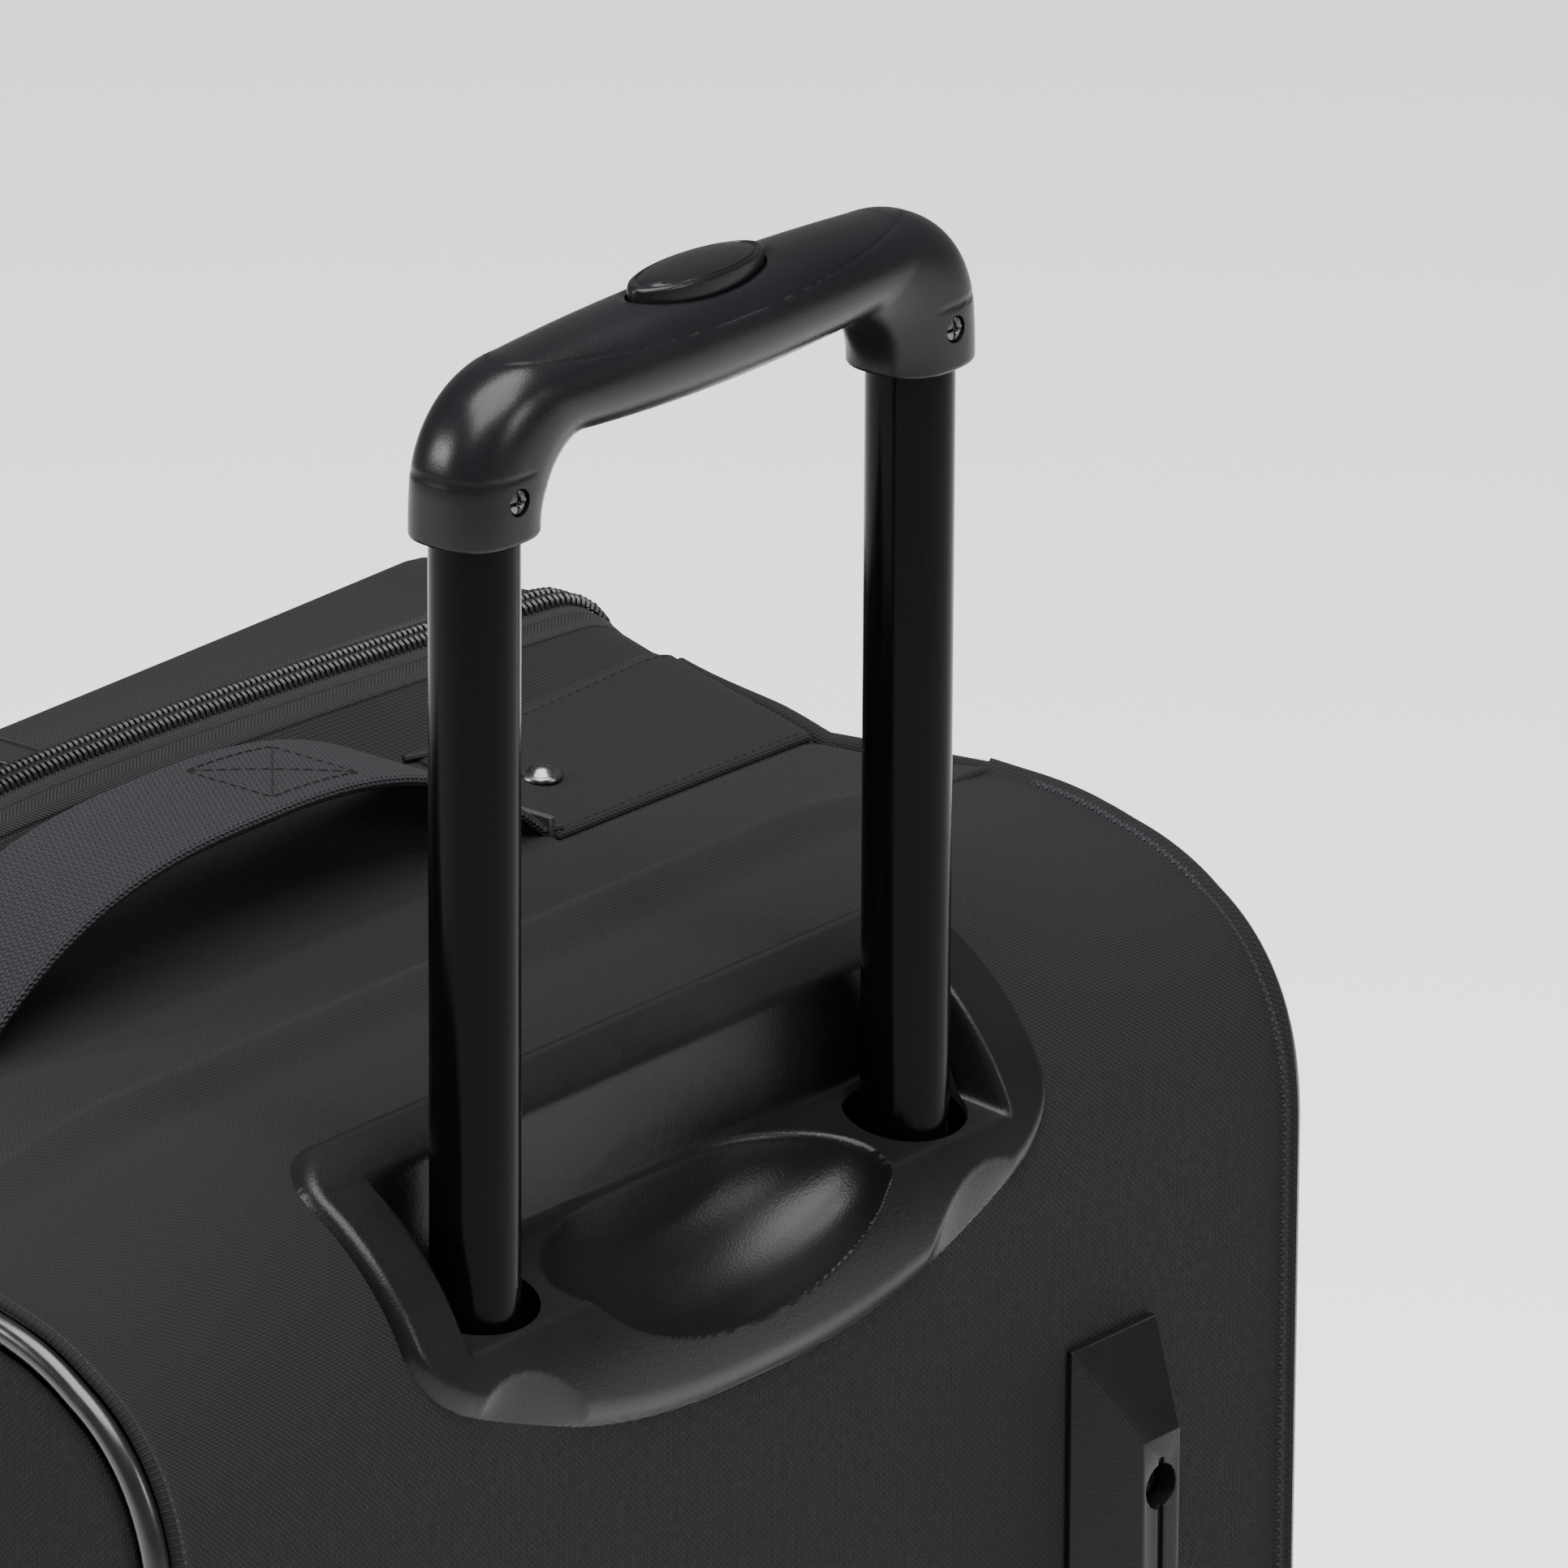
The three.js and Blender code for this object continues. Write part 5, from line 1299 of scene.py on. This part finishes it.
class SUITCASE_OT_handle(bpy.types.Operator):
    """Tubes, grip, release button and screws"""

    bl_idname = "suitcase.handle"
    bl_label = "Telescopic handle"

    def execute(self, context):
        for name, side in SIDES:
            self.tubes(name, side)
        self.grip()
        self.button()
        for name, side in SIDES:
            self.screw(name, side)
        bracket = from_node("tube_bracket", "tube_base_bracket", moulding())
        finish_piece(bracket, "root", "satin_plastic", "tube_base_bracket")
        return {"FINISHED"}

    def tubes(self, name, side):
        for stage, body in (("outer", "root"), ("middle", "middle_stage"), ("inner", "handle")):
            node = f"{stage}_tube_{name}"
            low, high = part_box(node)
            radius = (high.x - low.x) / 2
            outline = [(radius, low.z), (radius, high.z - 0.0004), (radius - 0.0004, high.z),
                       (radius - 0.001, high.z), (radius - 0.001, low.z)]
            tube = turned(f"{stage}_tube_skin_{name}", outline, (side * TUBE_X, TUBE_Y, 0),
                          anodised(), segments=96)
            finish_piece(tube, body, "tube", node)
        node = f"middle_collar_{name}"
        low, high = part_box(node)
        radius = (high.x - low.x) / 2
        bore = TUBE_R + 0.0003
        outline = [(bore, low.z), (radius, low.z), (radius, high.z - 0.001),
                   (radius - 0.0008, high.z), (bore + 0.0004, high.z), (bore, high.z - 0.0004)]
        collar = turned(f"collar_{name}", outline, (side * TUBE_X, TUBE_Y, 0), moulding())
        finish_piece(collar, "middle_stage", "satin_plastic", node)

    def stations(self):
        """Outer and inner points of the grip in (X, Z), from one sleeve to the other."""
        low = GRIP[0].z
        out, inside = GRIP[1].x, 2 * TUBE_X - GRIP[1].x
        crown, swell = low + 0.0380, 0.0021
        round_r, arch, straight = 0.027, 0.0150, 0.0015
        turn = np.radians(np.linspace(0, 90, 46))
        outer_a = np.stack([np.full(24, out), np.linspace(low, crown - round_r, 24)], 1)
        outer_b = np.stack([out - round_r + round_r * np.cos(turn),
                            crown - round_r + round_r * np.sin(turn)], 1)
        x = np.linspace(out - round_r, 0, 122)
        share = 1 - (x / (out - round_r)) ** 2
        outer_c = np.stack([x, crown + swell * share], 1)
        first = np.radians(np.linspace(0, 34, 20))
        rest = np.radians(np.linspace(34, 90, 46))
        inner_a = np.concatenate([
            np.stack([np.full(4, inside), np.linspace(low, low + straight, 5)[:-1]], 1),
            np.stack([inside - arch + arch * np.cos(first),
                      low + straight + arch * np.sin(first)], 1)])
        inner_b = np.stack([inside - arch + arch * np.cos(rest),
                            low + straight + arch * np.sin(rest)], 1)
        x = np.linspace(inside - arch, 0, 122)
        share = 1 - (x / (inside - arch)) ** 2
        inner_c = np.stack([x, low + straight + arch - 0.0018 * share], 1)
        outer = np.concatenate([outer_a, outer_b[1:], outer_c[1:]])
        inner = np.concatenate([inner_a, inner_b[1:], inner_c[1:]])
        outer = np.concatenate([outer, (outer * (-1, 1))[-2::-1]])
        inner = np.concatenate([inner, (inner * (-1, 1))[-2::-1]])
        return outer, inner

    def grip(self):
        outer, inner = self.stations()
        low = GRIP[0].z
        rows, columns = len(outer), 176
        centre, half = (outer + inner) / 2, (outer - inner) / 2
        barness = smoothstep(TUBE_X + 0.005 - np.abs(centre[:, 0]), 0.0, 0.03)
        swell = 1 - np.clip(np.abs(centre[:, 0]) / 0.06, 0, 1) ** 2
        deep = 0.0131 - 0.0007 * barness + 0.0022 * swell
        power = 2.55 - 0.4 * barness
        angle = np.linspace(0, 2 * math.pi, columns, endpoint=False)
        cos, sin = np.cos(angle)[None], np.sin(angle)[None]
        along = np.sign(cos) * np.abs(cos) ** (2 / power[:, None])
        aside = np.sign(sin) * np.abs(sin) ** (2 / power[:, None])
        x = centre[:, 0][:, None] + half[:, 0][:, None] * along
        z = centre[:, 1][:, None] + half[:, 1][:, None] * along
        y = deep[:, None] * aside
        sink = self.grooves(x, y, z, centre, half, angle, low)
        radial = np.stack([x - centre[:, 0][:, None], y, z - centre[:, 1][:, None]], -1)
        size = np.linalg.norm(radial, axis=-1, keepdims=True)
        points = np.stack([x, y, z], -1) - radial / size * sink[..., None]
        end = np.arange(rows)
        end = np.minimum(end, rows - 1 - end) * 0.0006
        tuck = 0.0014 * (1 - np.sqrt(np.clip(1 - np.clip(1 - end / 0.0014, 0, 1) ** 2, 0, 1)))
        points -= radial / size * tuck[:, None, None]
        points[..., 1] += TUBE_Y
        run = arc_length(centre)
        around = np.linspace(0, 0.08, columns + 1)
        uv = np.stack(np.meshgrid(run, around, indexing="ij"), -1)
        obj = skin("grip_skin", points, uv, soft_grip(), wrap=(False, True), caps=True, angle=50)
        self.cut(obj)
        finish_piece(obj, "handle", "grip", "grip_body", "grip_cover")

    def grooves(self, x, y, z, centre, half, angle, low):
        """Depth of the parting lines: the top cover's oval, the button's gap and the end seams."""
        radius = np.linalg.norm(half, axis=1)[:, None]
        folded = np.abs(np.where(angle > math.pi, angle - 2 * math.pi, angle))[None]
        arc = folded * radius
        long, wide = 0.0690, 0.0150
        rho = np.sqrt((x / long) ** 2 + (arc / wide) ** 2)
        steep = np.sqrt((x / long ** 2) ** 2 + (arc / wide ** 2) ** 2) + 1e-9
        seam = np.abs(rho - 1) * rho / steep
        top = z > centre[:, 1][:, None]
        sink = np.where(top, 0.00030 * np.exp(-(seam / 0.00034) ** 2), 0)
        gap = np.abs(np.sqrt((x / 0.0222) ** 2 + (y / 0.0086) ** 2) - 1) * 0.0086
        sink += np.where(top, 0.0010 * np.exp(-(gap / 0.0005) ** 2), 0)
        ring = np.abs(z - low - 0.0155)
        outside = smoothstep(np.abs(x), TUBE_X - 0.008, TUBE_X - 0.002)
        sink += 0.00028 * np.exp(-(ring / 0.0004) ** 2) * outside
        return sink

    def cut(self, obj):
        """Screw holes, tube sockets and the button's pocket."""
        low = GRIP[0].z
        turn = np.linspace(0, 2 * math.pi, 64, endpoint=False)
        cos, sin = np.cos(turn), np.sin(turn)
        socket = TUBE_R + 0.0003
        shapes = [[np.column_stack([0.0222 * cos, TUBE_Y + 0.0086 * sin, np.full(64, low + z)])
                   for z in (0.0300, 0.0520)]]
        for x in (TUBE_X, -TUBE_X):
            shapes.append([np.column_stack([x + 0.0032 * cos, np.full(64, TUBE_Y + deep),
                                            low + 0.010 + 0.0032 * sin]) for deep in (0.0112, 0.02)])
            shapes.append([np.column_stack([x + socket * cos, TUBE_Y + socket * sin,
                                            np.full(64, low + z)]) for z in (-0.010, 0.014)])
        for points in shapes:
            cutter = skin("grip_cutter", np.array(points), np.zeros((2, 65, 2)), soft_grip(),
                          wrap=(False, True), caps=True)
            cut = obj.modifiers.new("Cut", "BOOLEAN")
            cut.operation = "DIFFERENCE"
            cut.solver = "MANIFOLD"
            cut.object = cutter
            apply_modifiers(obj)
            bpy.data.objects.remove(cutter)
        smooth(obj.data, math.radians(45))

    def button(self):
        crown = GRIP[0].z + 0.0401
        turn = np.linspace(0, 2 * math.pi, 72, endpoint=False)
        rings = ((0.99, -0.0050), (1.0, -0.0045), (1.0, 0.0010), (0.988, 0.0016), (0.960, 0.0019),
                 (0.925, 0.0020), (0.905, 0.0017), (0.890, 0.0017), (0.870, 0.0021), (0.70, 0.0025),
                 (0.45, 0.0028), (0.2, 0.0029), (0.04, 0.0029))
        points = []
        for size, height in rings:
            wide = 0.0216 - 0.0080 * (1 - size)
            points.append(np.column_stack([
                wide * size * np.cos(turn), TUBE_Y + 0.0080 * size * np.sin(turn),
                np.full(72, crown + height)]))
        points = np.array(points)
        uv = np.zeros((len(rings), 73, 2))
        obj = skin("release_button_skin", points, uv, soft_grip(), wrap=(False, True), caps=True)
        finish_piece(obj, "button", "grip", "release_button")

    def screw(self, name, side):
        """Cross-head screw, its slots cut in the head's outline of height by radius."""
        low = GRIP[0].z
        turn = np.linspace(0, 2 * math.pi, 48, endpoint=False)
        rings = []
        for radius, height in ((0.00295, 0.0), (0.00295, 0.0006), (0.0026, 0.0011), (0.0018, 0.0013),
                               (0.0012, 0.00135), (0.0006, 0.00135), (0.0001, 0.00135)):
            across, along = np.abs(radius * np.cos(turn)), np.abs(radius * np.sin(turn))
            cross = np.minimum(across, along) < 0.00042
            sunk = np.where(cross & (radius < 0.002), 0.0009, 0.0)
            rings.append(np.column_stack([
                side * TUBE_X + radius * np.cos(turn), TUBE_Y + 0.0113 + height - sunk,
                low + 0.010 + radius * np.sin(turn)]))
        points = np.array(rings)
        uv = np.zeros((len(rings), 49, 2))
        obj = skin(f"screw_head_{name}", points, uv, steel(), wrap=(False, True), caps=True)
        finish_piece(obj, "handle", "steel", f"grip_screw_{name}")


# ---- Pieces: straps ----------------------------------------------------------------------------

def band_of_webbing(name, path, across, width, thick):
    """Webbing swept along a path, with rounded ribbed edges; across is the width's direction."""
    path = np.array(path, float)
    ahead = np.gradient(path, axis=0)
    ahead /= np.linalg.norm(ahead, axis=1)[:, None]
    side = np.array(across, float)
    above = np.cross(np.broadcast_to(side, ahead.shape), ahead)
    half, edge = width / 2 - thick / 2, thick / 2
    section = []
    for a in np.linspace(-half, half, 30):
        section.append((a, edge))
    for turn in np.radians(np.linspace(75, -75, 8)):
        section.append((half + edge * math.cos(turn), edge * math.sin(turn)))
    for a in np.linspace(half, -half, 30):
        section.append((a, -edge))
    for turn in np.radians(np.linspace(255, 105, 8)):
        section.append((-half + edge * math.cos(turn), edge * math.sin(turn)))
    section = np.array(section)
    wave = 0.00012 * np.sin(np.arange(len(path)) * 2.1)[:, None]
    points = (path[:, None] + side * section[None, :, 0:1]
              + above[:, None] * section[None, :, 1:2])
    bulge = np.abs(section[:, 0]) > half
    ribs = side * np.sign(section[None, :, 0:1]) * wave[..., None]
    points += np.where(bulge[None, :, None], ribs, 0)
    ring = np.concatenate([section, section[:1]])
    uv = np.stack(np.meshgrid(arc_length(path), arc_length(ring), indexing="ij"), -1)
    return skin(name, points, uv, webbing(), wrap=(False, True), caps=True)


def arch(span, rise, count=161):
    """Points (along, height) of a strap that springs up from two slits."""
    a = np.linspace(-1, 1, count)
    shape = 1 - np.abs(a) ** 2.7
    return np.stack([a * span / 2, rise * shape], 1)


class SUITCASE_OT_straps(bpy.types.Operator):
    """Carry straps with their slits, patches and rivets, and the side feet"""

    bl_idname = "suitcase.straps"
    bl_label = "Straps and side feet"

    def execute(self, context):
        self.top_strap()
        for name, side in SIDES:
            self.patch(name, side)
        self.side_strap()
        for name in ("lower", "upper"):
            foot = from_node(f"side_foot_{name}_body", f"side_foot_{name}", moulding(), 0.0018, 4)
            finish_piece(foot, "root", "satin_plastic", f"side_foot_{name}")
        return {"FINISHED"}

    def top_strap(self):
        low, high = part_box("top_strap")
        middle = (low.y + high.y) / 2
        line = arch(0.202, sizes().strap_rise)
        ground = TOP + float(top_rise(middle, 0.1)) - 0.004
        path = np.column_stack([line[:, 0], np.full(len(line), middle), ground + line[:, 1]])
        strap = band_of_webbing("top_strap_webbing", path, (0, 1, 0), 0.0385, 0.0029)
        finish_piece(strap, "root", "webbing", "top_strap")
        rows = []
        for start, end in (((-0.030, -0.013), (0.0, 0.013)), ((-0.030, 0.013), (0.0, -0.013)),
                           ((-0.030, -0.013), (-0.030, 0.013)), ((0.0, -0.013), (0.0, 0.013)),
                           ((-0.030, -0.013), (0.0, -0.013)), ((-0.030, 0.013), (0.0, 0.013))):
            a = np.linspace(0, 1, 20)
            x = start[0] + (end[0] - start[0]) * a - 0.010
            y = start[1] + (end[1] - start[1]) * a
            z = ground + np.interp(x, line[:, 0], line[:, 1]) + 0.0015
            rows.append(np.column_stack([x, middle + y, z]))
        for k, row in enumerate(rows):
            seam(f"strap_stitch_{k}", row, (0, 0, 1), "root", "webbing")

    def surface(self, x, y):
        turn = np.clip(1 - (HALF - np.abs(x)) / CORNER, 0, 1)
        return TOP + top_rise(y, x) * sag(x) - shoulder(y) * (1 - np.sqrt(1 - turn ** 2))

    def patch(self, name, side):
        low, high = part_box("top_strap")
        middle = (low.y + high.y) / 2
        inner, outer = 0.1005, HALF - 0.0075
        y0, y1 = BAND_END + 0.0006, FOLD_Y
        x = side * np.linspace(inner, outer, 60)
        y = np.linspace(y0, y1, 30)
        gx, gy = np.meshgrid(x, y)
        near = np.minimum.reduce([np.abs(gx) - inner, gy - y0, y1 - gy])
        gz = self.surface(gx, gy) + 0.0010 - 0.0008 * np.clip(1 - near / 0.0016, 0, 1) ** 2
        lifted = np.exp(-((np.abs(gx) - inner) / 0.006) ** 2)
        gz += 0.0012 * lifted * np.exp(-((gy - middle) / 0.016) ** 2)
        obj = skin(f"strap_patch_{name}", np.stack([gx, gy, gz], -1), np.stack([gx, gy], -1),
                   fabric())
        face_outwards(obj, (0, 0, 1))
        thicken(obj, 0.0014)
        finish_piece(obj, "root", "case_fabric")
        for key, place in (("a", y0 + 0.0022), ("b", y1 - 0.0022)):
            line = np.linspace(inner + 0.001, outer - 0.002, 40) * side
            depth = np.full(40, place)
            path = np.column_stack([line, depth, self.surface(line, depth) + 0.0009])
            seam(f"patch_seam_{name}_{key}", path, (0, 0, 1), "root")
        # Painted shade: a thin near-black block in the slit where the strap goes in, for the shade inside
        # it.
        slit = block(f"slit_{name}", (side * inner - 0.0009, y0 + 0.001, TOP - 0.0125),
                     (side * inner + 0.0009, y1 - 0.002, TOP - 0.0052), painted_shade_fill(), 0.0003, 1)
        finish_piece(slit, "root", "case_fabric")
        for end in (y0 + 0.001, y1 - 0.003):
            z = float(self.surface(np.array(inner), np.array(end)))
            path = [(side * (inner + dx), end + dy, z + 0.0012)
                    for dx, dy in ((-0.003, -0.0012), (0.0, 0.0), (0.003, 0.0012))]
            tack = tube_along(f"tack_{name}_{round(end * 1e3)}", path, 0.0009, thread(), sides=8)
            finish_piece(tack, "root", "case_fabric")
        x0, z0 = side * 0.120, float(self.surface(np.array(0.120), np.array(middle))) + 0.0008
        outline = [(0.0001, 0.0), (0.0052, 0.0), (0.0052, 0.0007), (0.0046, 0.0012), (0.0038, 0.0009),
                   (0.0034, 0.0010), (0.0028, 0.0022), (0.0016, 0.0028), (0.0001, 0.0030)]
        rivet = turned(f"rivet_{name}", [(r, z0 + h) for r, h in outline], (x0, middle, 0), steel(),
                       segments=32, angle=60)
        finish_piece(rivet, "root", "steel")

    def side_strap(self):
        low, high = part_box("side_strap")
        middle_y, middle_z = (low.y + high.y) / 2, (low.z + high.z) / 2
        span = high.z - low.z - 0.040
        line = arch(span, high.x - HALF - 0.003, 101)
        tail = np.linspace(0.02, 0.0, 12)[:-1]
        zs = np.concatenate([-span / 2 - tail, line[:, 0], span / 2 + tail[::-1]])
        xs = np.concatenate([np.zeros(11), line[:, 1], np.zeros(11)])
        path = np.column_stack([HALF + 0.0030 + xs, np.full(len(xs), middle_y), middle_z + zs])
        strap = band_of_webbing("side_strap_webbing", path, (0, 1, 0), high.y - low.y, 0.0026)
        finish_piece(strap, "root", "webbing", "side_strap")
        for key, end in (("low", -1), ("high", 1)):
            centre_z = middle_z + end * (span / 2 + 0.012)
            outline = [(0.0001, 0.0), (0.0048, 0.0), (0.0048, 0.0008), (0.0030, 0.0022), (0.0001, 0.0028)]
            rivet = turned(f"side_rivet_{key}", [(r, HALF + 0.0038 + h) for r, h in outline],
                           (0, middle_y, centre_z), steel(), axis="X", segments=32, angle=60)
            finish_piece(rivet, "root", "steel")


# ---- Pieces: rails, wheels and feet ------------------------------------------------------------

class SUITCASE_OT_running_gear(bpy.types.Operator):
    """Skid rails, wheel housings, wheels, feet and floor board"""

    bl_idname = "suitcase.running_gear"
    bl_label = "Rails, wheels and feet"

    def execute(self, context):
        for name, _ in SIDES:
            self.plain(f"skid_rail_{name}", 0.0012)
            self.plain(f"wheel_housing_{name}", 0.0014)
            self.plain(f"front_foot_{name}", 0.0015)
            self.rail_screw(name)
            self.wheel(name)
        self.plain("base_board", 0.0006)
        return {"FINISHED"}

    def plain(self, node, bevel):
        piece = from_node(node + "_body", node, moulding(), bevel, 3)
        finish_piece(piece, "root", "satin_plastic", node)

    def rail_screw(self, name):
        low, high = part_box(f"skid_rail_{name}")
        x = (low.x + high.x) / 2
        z = high.z - 0.034
        floor = high.y - 0.0069
        outline = [(0.0001, 0.0), (0.0048, 0.0), (0.0048, 0.0008), (0.0034, 0.0022), (0.0018, 0.0027),
                   (0.0013, 0.0015), (0.0001, 0.0014)]
        screw = turned(f"rail_screw_{name}", [(r, floor + h) for r, h in outline], (x, 0, z), steel(),
                       axis="Y", segments=40, angle=50)
        finish_piece(screw, "root", "steel")

    def wheel(self, name):
        low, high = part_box(f"wheel_tyre_{name}")
        centre = (low + high) / 2
        radius, half = (high.z - low.z) / 2, (high.x - low.x) / 2
        rim = radius - 0.0067
        outline = [(rim, -half + 0.001)]
        for turn in np.radians(np.linspace(-80, 80, 17)):
            out = radius - 0.004 + 0.004 * math.cos(turn)
            outline.append((out, (half - 0.004) * np.sign(turn) + 0.004 * math.sin(turn)))
        outline.append((rim, half - 0.001))
        tyre = turned(f"tyre_{name}", outline, tuple(centre), rubber(), axis="X", segments=96)
        finish_piece(tyre, f"wheel_{name}", "tyre", f"wheel_tyre_{name}")
        hub = from_node(f"hub_{name}", f"wheel_hub_{name}", moulding(), 0.0008, 2)
        finish_piece(hub, f"wheel_{name}", "satin_plastic", f"wheel_hub_{name}")
        low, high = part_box(f"axle_{name}")
        outline = [(0.0001, low.x), ((high.z - low.z) / 2, low.x), ((high.z - low.z) / 2, high.x),
                   (0.0001, high.x)]
        axle = turned(f"axle_pin_{name}", outline, (0, centre.y, centre.z), steel(), axis="X",
                      segments=32)
        finish_piece(axle, "root", "steel", f"axle_{name}")


# ---- Stage -------------------------------------------------------------------------------------

class SUITCASE_OT_stage(bpy.types.Operator):
    """Floor, soft studio light and the camera"""

    bl_idname = "suitcase.stage"
    bl_label = "Stage and camera"

    def execute(self, context):
        self.camera()
        self.floor()
        self.lights()
        return {"FINISHED"}

    def camera(self):
        azimuth, elevation, roll = math.radians(129.2), math.radians(20.5), math.radians(0.3)
        focal, width, distance = 22000.0, 1932.0, 3.97
        back = Vector((math.sin(azimuth) * math.cos(elevation),
                       -math.cos(azimuth) * math.cos(elevation), math.sin(elevation)))
        right = (-back).cross(Vector((0, 0, 1))).normalized()
        up = right.cross(-back)
        right, up = (right * math.cos(roll) + up * math.sin(roll),
                     up * math.cos(roll) - right * math.sin(roll))
        anchor = Vector((0, TUBE_Y, TOP - 0.018))
        seen = ((854 - 966) / focal, (966 - 1380) / focal)
        data = bpy.data.cameras.new("Camera")
        data.sensor_width = 36.0
        data.lens = focal / width * 36.0
        data.clip_end = 50.0
        cam = bpy.data.objects.new("Camera", data)
        bpy.context.scene.collection.objects.link(cam)
        cam.location = anchor + back * distance - (right * seen[0] + up * seen[1]) * distance
        turn = Matrix((right, up, back)).transposed()
        cam.rotation_mode = "QUATERNION"
        cam.rotation_quaternion = turn.to_quaternion()
        bpy.context.scene.camera = cam

    def floor(self):
        mesh = bpy.data.meshes.new("floor")
        size = 12.0
        mesh.from_pydata([(-size, -size, 0), (size, -size, 0), (size, size, 0), (-size, size, 0)], [],
                         [(0, 1, 2, 3)])
        made = Nodes("studio_floor")
        made.set(Base_Color=(0.86, 0.86, 0.86), Roughness=0.85)
        mesh.materials.append(made.material)
        new_object("floor", mesh)

    def lights(self):
        world = bpy.context.scene.world or bpy.data.worlds.new("World")
        bpy.context.scene.world = world
        world.use_nodes = True
        sky = world.node_tree.nodes["Background"]
        sky.inputs[0].default_value = (1.0, 1.0, 1.0, 1.0)
        sky.inputs[1].default_value = 0.34
        for name, place, size, power in (
                ("overhead", (0.3, 0.6, 3.6), 3.2, 520.0),
                ("left_softbox", (2.6, -1.7, 1.9), 0.9, 105.0),
                ("right_rear", (-0.9, 3.0, 1.9), 0.8, 40.0)):
            data = bpy.data.lights.new(name, "AREA")
            data.size = size
            data.energy = power
            lamp = bpy.data.objects.new(name, data)
            bpy.context.scene.collection.objects.link(lamp)
            lamp.location = place
            aim = Vector((0, 0, 0.55)) - lamp.location
            lamp.rotation_mode = "QUATERNION"
            lamp.rotation_quaternion = aim.to_track_quat("-Z", "Y")



OPERATORS = (SUITCASE_OT_shell, SUITCASE_OT_lid, SUITCASE_OT_zippers, SUITCASE_OT_recess,
             SUITCASE_OT_handle, SUITCASE_OT_straps, SUITCASE_OT_running_gear, SUITCASE_OT_stage)


class SUITCASE_PT_panel(bpy.types.Panel):
    """Lists the suitcase's pieces"""

    bl_idname = "SUITCASE_PT_panel"
    bl_label = "Suitcase"
    bl_space_type = "VIEW_3D"
    bl_region_type = "UI"
    bl_category = "Suitcase"

    def draw(self, context):
        for settings in (context.scene.suitcase_sizes, context.scene.suitcase_colours):
            for key in settings.__annotations__:
                self.layout.prop(settings, key)
        for operator in OPERATORS:
            self.layout.operator(operator.bl_idname)


CLASSES = (SuitcaseSizes, SuitcaseColours, *OPERATORS, SUITCASE_PT_panel)


def register():
    for cls in CLASSES:
        bpy.utils.register_class(cls)
    bpy.types.Scene.suitcase_sizes = PointerProperty(type=SuitcaseSizes)
    bpy.types.Scene.suitcase_colours = PointerProperty(type=SuitcaseColours)


def unregister():
    del bpy.types.Scene.suitcase_colours
    del bpy.types.Scene.suitcase_sizes
    for cls in reversed(CLASSES):
        bpy.utils.unregister_class(cls)


def main():
    register()
    for operator in OPERATORS:
        call = getattr(bpy.ops.suitcase, operator.bl_idname.split(".")[1])
        if call() != {"FINISHED"}:
            raise RuntimeError(f"{operator.bl_idname} did not finish")


if __name__ == "__main__":
    main()
